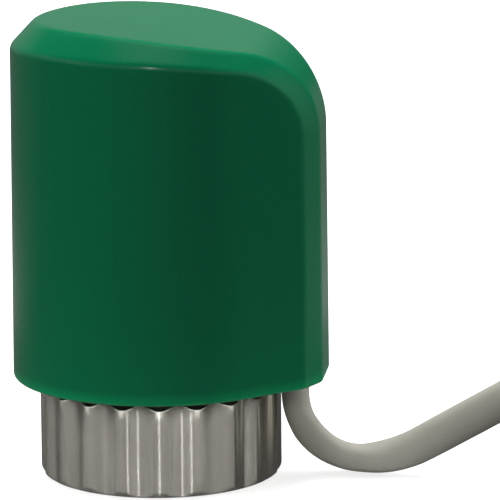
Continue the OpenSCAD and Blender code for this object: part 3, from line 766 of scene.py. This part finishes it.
# ------------------------------------------------------------------ union nut
NUT_RADIUS = 17.5
NUT_HEIGHT = 14.1
NUT_TOP = 4.5
NUT_BOTTOM = NUT_TOP - NUT_HEIGHT
NUT_SEGMENTS = 400
FLUTES, FLUTE_DEPTH = 20, 0.62
FLUTE_PHASE = 0.91  # in flutes
BOTTOM_ROUND = 1.05
CHAMFER_DROP = 1.36  # from the top face to the foot of the chamfer
CHAMFER_WIDTH, CHAMFER_HEIGHT = 1.07, 1.33
THREAD_RADIUS = 15.0
THREAD_DEPTH = 0.812
THREAD_PITCH = 1.5
THREAD_TOP = -0.2
THREAD_STEP = 0.096
ENTRY_RADIUS = 15.4  # at the bottom edge
RELIEF_RADIUS = 15.1  # plain bore above the thread
# (r, z) inside: across the top face, down the bore, out under it, down the relief
NUT_INSIDE = (
    (15.2, NUT_TOP), (14.0, NUT_TOP), (12.9, NUT_TOP), (12.42, NUT_TOP),
    (12.34, NUT_TOP - 0.04), (12.3, NUT_TOP - 0.14), (12.3, 3.4), (12.3, 2.3),
    (12.33, 2.23), (12.42, 2.2), (13.6, 2.2), (14.9, 2.2),
    (RELIEF_RADIUS, 2.05), (RELIEF_RADIUS, 1.0), (RELIEF_RADIUS, 0.0),
)


def flute_radius(angle):
    """Radius over lands and flutes."""
    phase = (angle / (2 * pi) * FLUTES - FLUTE_PHASE) % 1.0
    off = abs(phase - round(phase))  # 0 at a flute's centre, 0.5 on a land
    return NUT_RADIUS - FLUTE_DEPTH * (0.5 + 0.5 * cos(2 * pi * off)) ** 1.05


def smooth_min(a, b, blend):
    h = max(0.0, min(1.0, 0.5 + 0.5 * (b - a) / blend))
    return b * (1 - h) + a * h - blend * h * (1 - h)


def thread_radius(z, angle):
    turns = ((z + 0.3) / THREAD_PITCH - angle / (2 * pi)) % 1.0
    from_root = min(turns, 1 - turns) * THREAD_PITCH
    # flat root 0.094 to each side, then flanks at 60 degrees
    thread = THREAD_RADIUS - max(0.0, min(THREAD_DEPTH, (from_root - 0.094) * 1.732))
    entry = ENTRY_RADIUS - (z - NUT_BOTTOM) * (1.212 / 1.1)
    run_out = THREAD_RADIUS - THREAD_DEPTH + max(0.0, (z + 1.0)) * 0.912
    return max(thread, entry, min(run_out, RELIEF_RADIUS))


def nut_outside():
    """(r, z) from the bottom edge up to the top face, without flutes."""
    points = []
    for j in range(9):
        angle = (pi / 2) * j / 8
        points.append((NUT_RADIUS - BOTTOM_ROUND + BOTTOM_ROUND * sin(angle),
                       NUT_BOTTOM + BOTTOM_ROUND * (1 - cos(angle))))
    side = NUT_TOP - CHAMFER_DROP - NUT_BOTTOM - BOTTOM_ROUND
    for j in range(1, 9):
        points.append((NUT_RADIUS, NUT_BOTTOM + BOTTOM_ROUND + side * j / 8))
    for j in range(1, 17):
        points.append((NUT_RADIUS - CHAMFER_WIDTH * j / 16,
                       NUT_TOP - CHAMFER_DROP + CHAMFER_HEIGHT * j / 16))
    return points + [(NUT_RADIUS - 1.11, NUT_TOP - 0.01), (NUT_RADIUS - 1.2, NUT_TOP)]


def build_nut():
    mesh = MeshBuilder()
    outside = nut_outside()
    thread_count = int((THREAD_TOP - NUT_BOTTOM) / THREAD_STEP) + 1
    thread_heights = [THREAD_TOP - THREAD_STEP * j for j in range(thread_count)]
    rows = []
    for i in range(NUT_SEGMENTS):
        angle = 2 * pi * i / NUT_SEGMENTS
        fluted = flute_radius(angle)
        profile = []
        for r, z in outside:
            if z > NUT_BOTTOM + 0.01:
                r = smooth_min(r, fluted, 0.04 if z > NUT_TOP - 1.45 else 0.10)
            else:
                r = min(r, fluted)
            profile.append((r, z))
        profile += NUT_INSIDE
        profile += [(thread_radius(z, angle), z) for z in thread_heights]
        profile += [(ENTRY_RADIUS, NUT_BOTTOM), (15.9, NUT_BOTTOM)]
        rows.append([(r * cos(angle), r * sin(angle), z) for r, z in profile])
    mesh.grid(rows, close_rows=True, close_rings=True)
    nut = mesh.make_piece("union_nut_body", ["nut_nickel", "nut_cut"], 40, "nut", "union_nut")
    for face in nut.data.polygons:
        centre = face.center / MM
        r = hypot(centre.x, centre.y)
        on_chamfer = centre.z > NUT_TOP - 1.355 and r > 16 and abs(face.normal.z) > 0.3
        on_top = abs(centre.z - NUT_TOP) < 0.02
        if on_chamfer or on_top or (r < 15.35 and centre.z < 3.0):
            face.material_index = 1
    return nut


# ------------------------------------------------------------------ cable
# The cable drops inside the cover, jogs outwards, bends away to +X and rises again.
CABLE_X = 18.5
CABLE_TOP = 15
EXIT_X = 19.65
JOG_TOP, JOG_BOTTOM = 10, 3.6
LOW_X, LOW_Z = 29.2, -7.35
EXIT_BEND = LOW_X - EXIT_X
RISE_BEND = 18.0
RISE_ANGLE = 30
RISE_RUN = 21.8  # of the last straight part, measured along X
CABLE_HALF = (2.0, 2.7)
CORE_RADIUS = 0.85
# a core above the sheath: x, y on the +Y side, z
CORE_HEAD = ((17.3, 2.5, 27.5), (17.3, 2.5, 24.5), (17.3, 2.5, 22), (17.7, 2.2, 19),
             (18.2, 1.5, 16.8))
# a core past the sheath's far end: along the cable, then y and z of the +Y core
CORE_TAIL = ((2, 0.3, 0.3), (4.5, 1.2, 1.4), (7, 2.0, 2.4), (10, 2.2, 2.7))


def cable_path(spacing):
    """The cable's centre line."""
    points = [Vector((CABLE_X, 0, CABLE_TOP))]

    def line(start, end):
        count = max(2, int((Vector(end) - Vector(start)).length / spacing))
        for i in range(1, count + 1):
            points.append(Vector(start).lerp(Vector(end), i / count))

    def arc(x, z, radius, start, end):
        count = max(4, int(abs(radians(end - start)) * radius / spacing))
        for i in range(1, count + 1):
            a = radians(start + (end - start) * i / count)
            points.append(Vector((x + radius * cos(a), 0, z + radius * sin(a))))

    jog_height = JOG_TOP - JOG_BOTTOM
    jog_angle = degrees(2 * atan((EXIT_X - CABLE_X) / jog_height))
    jog_radius = jog_height / (2 * sin(radians(jog_angle)))
    rise = radians(RISE_ANGLE)
    line((CABLE_X, 0, CABLE_TOP), (CABLE_X, 0, JOG_TOP))
    arc(CABLE_X + jog_radius, JOG_TOP, jog_radius, 180, 180 + jog_angle)
    arc(EXIT_X - jog_radius, JOG_BOTTOM, jog_radius, jog_angle, 0)
    line((EXIT_X, 0, JOG_BOTTOM), (EXIT_X, 0, LOW_Z + EXIT_BEND))
    arc(LOW_X, LOW_Z + EXIT_BEND, EXIT_BEND, 180, 270)
    arc(LOW_X, LOW_Z + RISE_BEND, RISE_BEND, 270, 270 + RISE_ANGLE)
    knee = Vector((LOW_X + RISE_BEND * sin(rise), 0, LOW_Z + RISE_BEND * (1 - cos(rise))))
    line(knee, (knee.x + RISE_RUN, 0, knee.z + RISE_RUN * tan(rise)))
    return points


def cable_twist(x):
    """Twist of the oval section: back a little in the bend, then on past it."""
    if x < LOW_X:
        return radians(-35 * min(1, (LOW_X - x) / 6) * max(0.0, min(1, (x - EXIT_X) / 1.6)))
    return radians(80 * (1 - exp(-(x - LOW_X) / 7)))


def build_cable():
    mesh = MeshBuilder()
    path = cable_path(0.7)
    bore_half = (CORE_RADIUS + 0.2, CORE_RADIUS * 2 + 0.26)
    outside = sweep_rows(path, lambda i: oval(*CABLE_HALF, cable_twist(path[i].x), 48))
    bore = sweep_rows(path, lambda i: oval(*bore_half, cable_twist(path[i].x), 48))
    mesh.grid([bore[0]] + ease_ends(path, outside, 0.95, 0.955) + [bore[-1]], close_rings=True)
    mesh.grid(bore, close_rings=True, flip=True)
    return mesh.make_piece("cable_sheath", ["cable_grey"], 50, "housing", "cable_jacket")


def core_path(side):
    """Centre line of one core; side is -1 or 1, as the sign of its y at the head."""
    cable = cable_path(1.6)
    offset = side * (CORE_RADIUS + 0.03)
    inside = []
    for i, p in enumerate(cable):
        first, second = cross_axes(cable, i, Vector((0, 1, 0)))
        twist = cable_twist(p.x)
        inside.append(p + (second * cos(twist) - first * sin(twist)) * offset)
    ahead = end_directions(cable)[1]
    head = [Vector((x, side * y, z)) for x, y, z in CORE_HEAD]
    tail = [inside[-1] + ahead * along + Vector((0, side * y, side * z))
            for along, y, z in CORE_TAIL]
    return smooth_path(head + inside + tail, 5)


def build_core(name, side, material, node):
    mesh = MeshBuilder()
    path = core_path(side)
    rows = sweep_rows(path, lambda i: oval(CORE_RADIUS, CORE_RADIUS, 0, 20))
    rows = ease_ends(path, rows, 0.86, 0.86)
    mesh.grid(rows, close_rings=True)
    # the cut conductor shows in each end
    start, end = end_directions(path)
    for ring, centre, out in ((rows[0], path[0], -start), (rows[-1], path[-1], end)):
        conductor = shrink(ring, centre, 0.55)
        for j in range(len(ring)):
            k = (j + 1) % len(ring)
            mesh.face([ring[j], ring[k], conductor[k], conductor[j]])
        mesh.cap(conductor, slot=1, dome=out * 0.05)
    mesh.make_piece(name, [material, "copper"], 50, "housing", node)


# ------------------------------------------------------------------ wire end sleeves
SLEEVE_RADIUS = 0.62
CRIMP_START, CRIMP_END = 1.2, 5.9
# (r, z) of the collar, and of the tube's far end
SLEEVE_COLLAR = ((0, 0), (0.9, 0), (0.97, 0.02), (1.0, 0.07), (1.0, 0.3), (0.96, 0.42),
                 (0.86, 0.5), (0.7, 0.54), (0.63, 0.62), (SLEEVE_RADIUS, 0.8))
SLEEVE_END = ((SLEEVE_RADIUS, 5.92), (0.59, 5.98), (0.52, 6.0), (0, 6.0))


def crimped(r, z, angle):
    """Squares the tube and presses notches into it."""
    if z < CRIMP_START or z > CRIMP_END or r > 0.64:
        return r
    share = min(1, (z - CRIMP_START) / 0.4, (CRIMP_END - z) / 0.3)
    square = min(SLEEVE_RADIUS, 0.56 / max(abs(cos(angle)), abs(sin(angle)), 0.01))
    notch = 0.035 * (1 if (int((z - 1.3) / 0.45) % 2 == 0) else 0)
    return r * (1 - share) + (square * (r / SLEEVE_RADIUS) - notch) * share


def build_sleeves():
    mesh = MeshBuilder()
    profile = list(SLEEVE_COLLAR)
    z = 1.0
    while z < 5.85:
        profile.append((SLEEVE_RADIUS, round(z, 3)))
        z += 0.1125
    profile += SLEEVE_END
    tilt = Matrix.Rotation(radians(90 - RISE_ANGLE), 3, "Y")
    for side in (-1, 1):
        foot = core_path(side)[-1] + tilt @ Vector((0, 0, 0.14))
        mesh.lathe(profile, 32, foot, tilt, crimped)
    mesh.make_piece("wire_end_sleeves", ["tin"], 40, "housing", "end_sleeves")


# ------------------------------------------------------------------ main spring
SPRING_BOTTOM, SPRING_TOP = 18.9, 47.4
SPRING_RADIUS = 12
SPRING_COILS = 6
COIL_STEPS = 44
SPRING_WIRE = 1.0  # half the thickness
DEAD_COILS = 0.9  # at each end
GROUND_DEPTH = 0.25
GROUND_LEFT = 0.35  # share of the depth that grinding leaves


def build_main_spring():
    count = SPRING_COILS * COIL_STEPS
    low, high = SPRING_BOTTOM + SPRING_WIRE, SPRING_TOP - SPRING_WIRE
    path = []
    for i in range(count + 1):
        coil = i / COIL_STEPS
        rise = min(1, max(0, (coil - DEAD_COILS) / (SPRING_COILS - DEAD_COILS * 2)))
        path.append(Vector((SPRING_RADIUS * cos(2 * pi * coil),
                            SPRING_RADIUS * sin(2 * pi * coil), low + (high - low) * rise)))
    # eases the pitch in and out of the dead coils
    heights = [p.z for p in path]
    for _ in range(14):
        between = [(heights[i - 1] + 2 * heights[i] + heights[i + 1]) / 4
                   for i in range(1, count)]
        heights = [heights[0]] + between + [heights[-1]]
    for p, z in zip(path, heights):
        p.z = z
    wire = oval(SPRING_WIRE * 0.98, SPRING_WIRE * 0.98, 0, 18)
    rows = sweep_rows(path, lambda i: wire, up=Vector((0, 0, 1)))
    # ground ends: the outer faces of the first and last coil are nearly flat
    for i, row in enumerate(rows):
        for q in row:
            if i < COIL_STEPS * 0.75 and q.z < SPRING_BOTTOM + GROUND_DEPTH:
                depth = GROUND_DEPTH - max(0.0, q.z - SPRING_BOTTOM)
                q.z = SPRING_BOTTOM + GROUND_DEPTH - depth * GROUND_LEFT
            if i > count - COIL_STEPS * 0.75 and q.z > SPRING_TOP - GROUND_DEPTH:
                depth = GROUND_DEPTH - max(0.0, SPRING_TOP - q.z)
                q.z = SPRING_TOP - GROUND_DEPTH + depth * GROUND_LEFT
    mesh = MeshBuilder()
    mesh.grid(rows, close_rings=True)
    mesh.cap(rows[0], dome=(path[0] - path[1]).normalized() * 0.1)
    mesh.cap(rows[-1], dome=(path[-1] - path[-2]).normalized() * 0.1)
    spring = mesh.make_piece("main_spring_coil", ["spring_steel"], 50, "housing", "main_spring")
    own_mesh(spring)


# ------------------------------------------------------------------ heater leads
LEAD_RADIUS = 0.6
LEAD_BEND = 1.8
LEAD_BEND_X, LEAD_BEND_Z = 14.6, 47.85  # centre of the outer bend
LEAD_INNER_X = 8.5
BARE_TIP = 1.3


def build_lead(name, y, end_z, material, node):
    """An upturned U with a bared, tinned tip at each end."""
    outer_x = LEAD_BEND_X + LEAD_BEND
    points = [(outer_x, y, 41.0), (outer_x, y, 44)]
    for centre_x, start in ((LEAD_BEND_X, 0), (LEAD_INNER_X + LEAD_BEND, 90)):
        for i in range(7):
            a = radians(start + 15 * i)
            points.append((centre_x + LEAD_BEND * cos(a), y, LEAD_BEND_Z + LEAD_BEND * sin(a)))
    points += [(LEAD_INNER_X, y, 42), (LEAD_INNER_X, y, end_z)]
    path = smooth_path(points, 7)
    rows = sweep_rows(path, lambda i: oval(LEAD_RADIUS, LEAD_RADIUS, 0, 16))

    def is_bare(i, j):
        return min((path[i] - path[0]).length, (path[j] - path[-1]).length) < BARE_TIP

    rows = [shrink(row, path[i], 0.62) if is_bare(i, i) else row for i, row in enumerate(rows)]
    bands = [1 if is_bare(i, i + 1) else 0 for i in range(len(path) - 1)]
    mesh = MeshBuilder()
    mesh.grid(rows, close_rings=True, bands=bands)
    mesh.cap(rows[0], slot=1)
    mesh.cap(rows[-1], slot=1)
    mesh.make_piece(name, [material, "tin"], 50, "housing", node)


# ------------------------------------------------------------------ turned parts
# object, body it rides on, material, node it replaces, fillet, profile of (r, z[, fillet])
TURNED_PARTS = (
    ("rubber_boot_skin", "housing", "boot_rubber", "rubber_boot", 0.15,
     [(0, 30.6), (2.65, 30.6, 0.5), (2.65, 37.02, 0.1), (4.65, 37.02, 0.1),
      (4.65, 38, 0.1), (2.07, 38, 0.2), (2.07, 31.25, 0.3), (0, 31.25)]),
    ("wax_charge_fill", "housing", "wax", "wax_charge", 0.15,
     [(0, 30.02), (4.65, 30.02, 0.3), (4.65, 37, 0.15), (2.68, 37, 0.15),
      (2.68, 30.55, 0.3), (0, 30.55)]),
    ("piston_guide_body", "housing", "motor_brass", "piston_guide", 0.12,
     [(2.05, 38.02), (4.65, 38.02), (4.65, 39.38), (3.3, 39.38, 0.25),
      (3.3, 42), (3, 42.3), (2.05, 42.3)]),
    ("motor_piston_rod", "piston", "zinc_steel", "wax_motor_piston", 0.1,
     [(0, 31.3), (1.7, 31.3, 0.2), (2.0, 31.6, 0.2), (2.0, 43.8, 0.1),
      (1.8, 44.0, 0.1), (0, 44.0)]),
    ("heating_disc", "housing", "ptc_ceramic", "ptc_disc", 0.2,
     [(0, 26.7), (4.5, 26.7, 0.25), (4.5, 29.0, 0.25), (0, 29.0)]),
)


def build_turned_parts():
    for name, body, material, node, fillet, profile in TURNED_PARTS:
        mesh = MeshBuilder()
        mesh.lathe(rounded(profile, fillet), 96)
        mesh.make_piece(name, [material], 30, body, node)


# ------------------------------------------------------------------ parts kept from the CAD
CAD_PARTS = {
    "gasket_rubber": ("cover_gasket", "stem_seal", "cable_grommet"),
    "base_black": ("base_plate", "cable_clamp"),
    "collar_brass": ("seating_collar",),
    "spring_steel": ("retaining_ring", "plunger_clip"),
    "acetal_white": ("guide_bush", "plunger", "carriage"),
    "zinc_steel": (
        "crosshead", "crosshead_screws", "bridge_posts", "bridge_plate", "bridge_screws",
        "spring_plate", "frame_pillars", "pillar_screws", "terminal_screws", "clamp_screws"),
    "ceramic_ivory": ("heater_seat",),
    "contact_brass": ("lower_contact", "upper_contact"),
    "motor_brass": ("wax_motor_cup",),
    "board_green": ("terminal_board",),
    "block_grey": ("terminal_block",),
    "varistor_blue": ("varistor",),
}
CAD_BEVEL = 0.1


def dress_cad_parts():
    """Gives each part its material and softens its edges."""
    for material, names in CAD_PARTS.items():
        for name in names:
            part = NODES[name]
            part.data.materials.clear()
            part.data.materials.append(MATERIALS[material])
            bevel = part.modifiers.new("edge", "BEVEL")
            bevel.width = CAD_BEVEL * MM
            bevel.segments = 2
            bevel.limit_method = "ANGLE"
            bevel.angle_limit = radians(32)
            bevel.use_clamp_overlap = True
            bevel.harden_normals = True


build_hood()
nut_body = build_nut()
sheath = build_cable()
build_core("core_brown_wire", -1, "core_brown", "core_brown")
build_core("core_blue_wire", 1, "core_blue", "core_blue")
build_sleeves()
build_main_spring()
build_lead("lead_a_wire", 2.0, 34.52, "lead_red", "heater_lead_a")
build_lead("lead_b_wire", -2.0, 26.72, "lead_black", "heater_lead_b")
build_turned_parts()
dress_cad_parts()

# ------------------------------------------------------------------ floor
FLOOR_HALF = 6.0
FLOOR_GAP = 0.00002  # below the nut
OFF_WHITE = (1.0, 1.0, 0.985)


def make_floor_material():
    """White to the camera, dim to mirrors, bright near the object to other rays."""
    material = bpy.data.materials.new("floor_pale")
    g = Graph(material)
    position = g.add("ShaderNodeNewGeometry").outputs["Position"]
    away = g.add("ShaderNodeVectorMath", {0: position}, operation="LENGTH").outputs["Value"]
    rays = g.add("ShaderNodeLightPath").outputs

    def mix_values(factor, first, second):
        inputs = {0: factor, 2: first, 3: second}
        return g.add("ShaderNodeMix", inputs, data_type="FLOAT").outputs[0]

    # camera rays: the paper stays white far from the lamps
    glow = g.step(away, start=0.12, end=0.55, low=0.76, high=1.0)
    pale = g.add("ShaderNodeBsdfDiffuse", {0: (0.34, 0.34, 0.337)}).outputs[0]
    lift = g.add("ShaderNodeEmission", {0: (1, 1, 1), 1: glow}).outputs[0]
    paper = g.add("ShaderNodeAddShader", {0: pale, 1: lift}).outputs[0]
    # bounced light: only the paper round the object sends much back
    bounce = g.step(away, start=0.026, end=0.050, low=0.95, high=0.04)
    dim = g.add("ShaderNodeBsdfDiffuse", {0: bounce}).outputs[0]
    # mirrored rays: dark in front, paler behind
    far = g.step(away, start=0.13, end=0.27, low=0.27, high=0.13)
    behind = mix_values(g.step(away, start=0.09, end=0.12), 0.14, far)
    strength = mix_values(g.step(g.separate(position)[1], start=0.0, end=0.08), 0.09, behind)
    mirrored = g.add("ShaderNodeEmission", {0: OFF_WHITE, 1: strength}).outputs[0]
    unseen = g.mix_shaders(rays["Is Glossy Ray"], dim, mirrored)
    g.add("ShaderNodeOutputMaterial", {0: g.mix_shaders(rays["Is Camera Ray"], unseen, paper)})
    return material


def make_floor():
    mesh = bpy.data.meshes.new("floor")
    s = FLOOR_HALF
    mesh.from_pydata([(-s, -s, 0), (s, -s, 0), (s, s, 0), (-s, s, 0)], [], [(0, 1, 2, 3)])
    floor = bpy.data.objects.new("floor", mesh)
    floor.location = (0, 0, NUT_BOTTOM * MM - FLOOR_GAP)
    bpy.context.scene.collection.objects.link(floor)
    mesh.materials.append(make_floor_material())


# ------------------------------------------------------------------ world
def make_world():
    """White to the camera; soft bright fields for mirrors; an even dim light otherwise."""
    world = bpy.data.worlds.new("studio")
    bpy.context.scene.world = world
    g = Graph(world)
    rays = g.add("ShaderNodeLightPath").outputs
    x, y, z = g.separate(g.add("ShaderNodeTexCoord").outputs["Generated"])

    def times(first, second):
        return g.math("MULTIPLY", first, second)

    def plus(first, second):
        return g.math("ADD", first, second)

    back = times(g.step(y, start=0.1, end=0.6),
                 times(g.step(x, start=0.19, end=-0.04), g.step(z, start=0.55, end=0.35)))
    front = times(g.step(y, start=0.45, end=0.15),
                  times(g.step(z, start=0.06, end=0.18), g.step(z, start=0.66, end=0.42)))
    overhead = g.step(z, start=0.90, end=0.98)
    # brightness of each field over a faint ground of 0.012
    mirrored = plus(0.012, times(back, 0.20))
    mirrored = plus(mirrored, times(front, 0.35))
    mirrored = plus(mirrored, times(overhead, 0.22))
    glossy = rays["Is Glossy Ray"]
    ambient = 0.11
    strength = plus(times(glossy, mirrored), times(g.math("SUBTRACT", 1.0, glossy), ambient))
    studio = g.add("ShaderNodeBackground", {0: OFF_WHITE, 1: strength}).outputs[0]
    white = g.add("ShaderNodeBackground", {0: (1, 1, 1), 1: 1.0}).outputs[0]
    g.add("ShaderNodeOutputWorld", {0: g.mix_shaders(rays["Is Camera Ray"], studio, white)})


# ------------------------------------------------------------------ lights
AIM = (0, 0, 0.02)
# name, azimuth (0 in front, positive to the right), elevation, distance, width, height,
# power, seen in reflections
LAMPS = (
    ("key_left", -62, 27, 0.9, 0.45, 0.35, 3.7, False),
    ("zenith", 0, 89, 0.9, 0.5, 0.5, 5.2, False),
    ("back_left", -150, 50, 0.9, 0.6, 0.5, 5.6, False),
    ("top_back", 168, 60, 0.9, 0.6, 0.5, 8.6, False),
    ("side_right", 118, 12, 0.8, 0.4, 0.4, 4.8, False),
    ("strip_front", 5, 25, 0.62, 0.02, 0.12, 0.3, True),
    ("front_fill", 5, 25, 0.62, 0.026, 0.24, 0.55, False),
)
# (azimuth, power) of the soft panels round the nut
NUT_PANELS = ((-134, 1.5), (-92, 1.9), (-50, 1.95), (-8, 1.75), (34, 1.8), (76, 1.65))


def add_lamp(name, azimuth, elevation, distance, width, height, power, glossy,
             target=AIM, only=None):
    """An area light facing its target; only is a collection it alone lights."""
    data = bpy.data.lights.new(name, "AREA")
    data.shape = "RECTANGLE"
    data.size, data.size_y = width, height
    data.energy = power
    lamp = bpy.data.objects.new(name, data)
    a, e = radians(azimuth), radians(elevation)
    outward = Vector((sin(a) * cos(e), -cos(a) * cos(e), sin(e)))
    lamp.location = Vector(target) + outward * distance
    lamp.rotation_euler = outward.to_track_quat("Z", "Y").to_euler()
    lamp.visible_glossy = glossy
    bpy.context.scene.collection.objects.link(lamp)
    if only:
        lamp.light_linking.receiver_collection = only


def collect(name, piece):
    collection = bpy.data.collections.new(name)
    collection.objects.link(piece)
    return collection


def make_lights():
    for lamp in LAMPS:
        add_lamp(*lamp)
    add_lamp("cable_fill", azimuth=64, elevation=24, distance=0.15, width=0.05, height=0.05,
             power=0.07, glossy=False, target=(0.04, 0, -0.004),
             only=collect("only_cable", sheath))
    # panels and a strip that only the bright metal nut mirrors
    only_nut = collect("only_nut", nut_body)
    for i, (azimuth, power) in enumerate(NUT_PANELS):
        add_lamp("panel_%d" % i, azimuth, elevation=24, distance=0.7, width=0.49, height=0.26,
                 power=power, glossy=True, only=only_nut)
    add_lamp("strip_nut", azimuth=5, elevation=25, distance=0.62, width=0.026, height=0.24,
             power=0.55, glossy=True, only=only_nut)


# ------------------------------------------------------------------ camera
LENS, SENSOR = 296.6, 36
CAMERA_AZIMUTH, CAMERA_ELEVATION, CAMERA_ROLL = radians(8.29), radians(11.59), radians(-0.679)
CAMERA_DISTANCE = 0.5932
CAMERA_TARGET = (0, 0, 0.02661)
# how far the view is turned right and down, as shares of the picture's width
AIM_RIGHT, AIM_DOWN = 0.182, 0.051


def make_camera():
    data = bpy.data.cameras.new("camera")
    camera = bpy.data.objects.new("camera", data)
    bpy.context.scene.collection.objects.link(camera)
    az, el, roll = CAMERA_AZIMUTH, CAMERA_ELEVATION, CAMERA_ROLL
    back = Vector((sin(az) * cos(el), -cos(az) * cos(el), sin(el)))
    level = Vector((cos(az), sin(az), 0))
    upright = back.cross(level)
    right = level * cos(roll) + upright * sin(roll)
    up = -level * sin(roll) + upright * cos(roll)
    place = Vector(CAMERA_TARGET) + back * CAMERA_DISTANCE
    # the object stands off the middle of the picture, so the camera turns a little aside
    aim = (right * AIM_RIGHT * SENSOR - up * AIM_DOWN * SENSOR - back * LENS).normalized()
    back = -aim
    right = (right - back * right.dot(back)).normalized()
    up = back.cross(right)
    rows = [(right[i], up[i], back[i], place[i]) for i in range(3)]
    camera.matrix_world = Matrix((*rows, (0, 0, 0, 1)))
    data.lens = LENS
    data.sensor_width = SENSOR
    data.clip_start = 0.02
    data.clip_end = 50
    bpy.context.scene.camera = camera


make_floor()
make_world()
make_lights()
make_camera()

view = bpy.context.scene.view_settings
view.view_transform = "Standard"
view.look = "None"
view.exposure = 0.0
view.gamma = 1.0
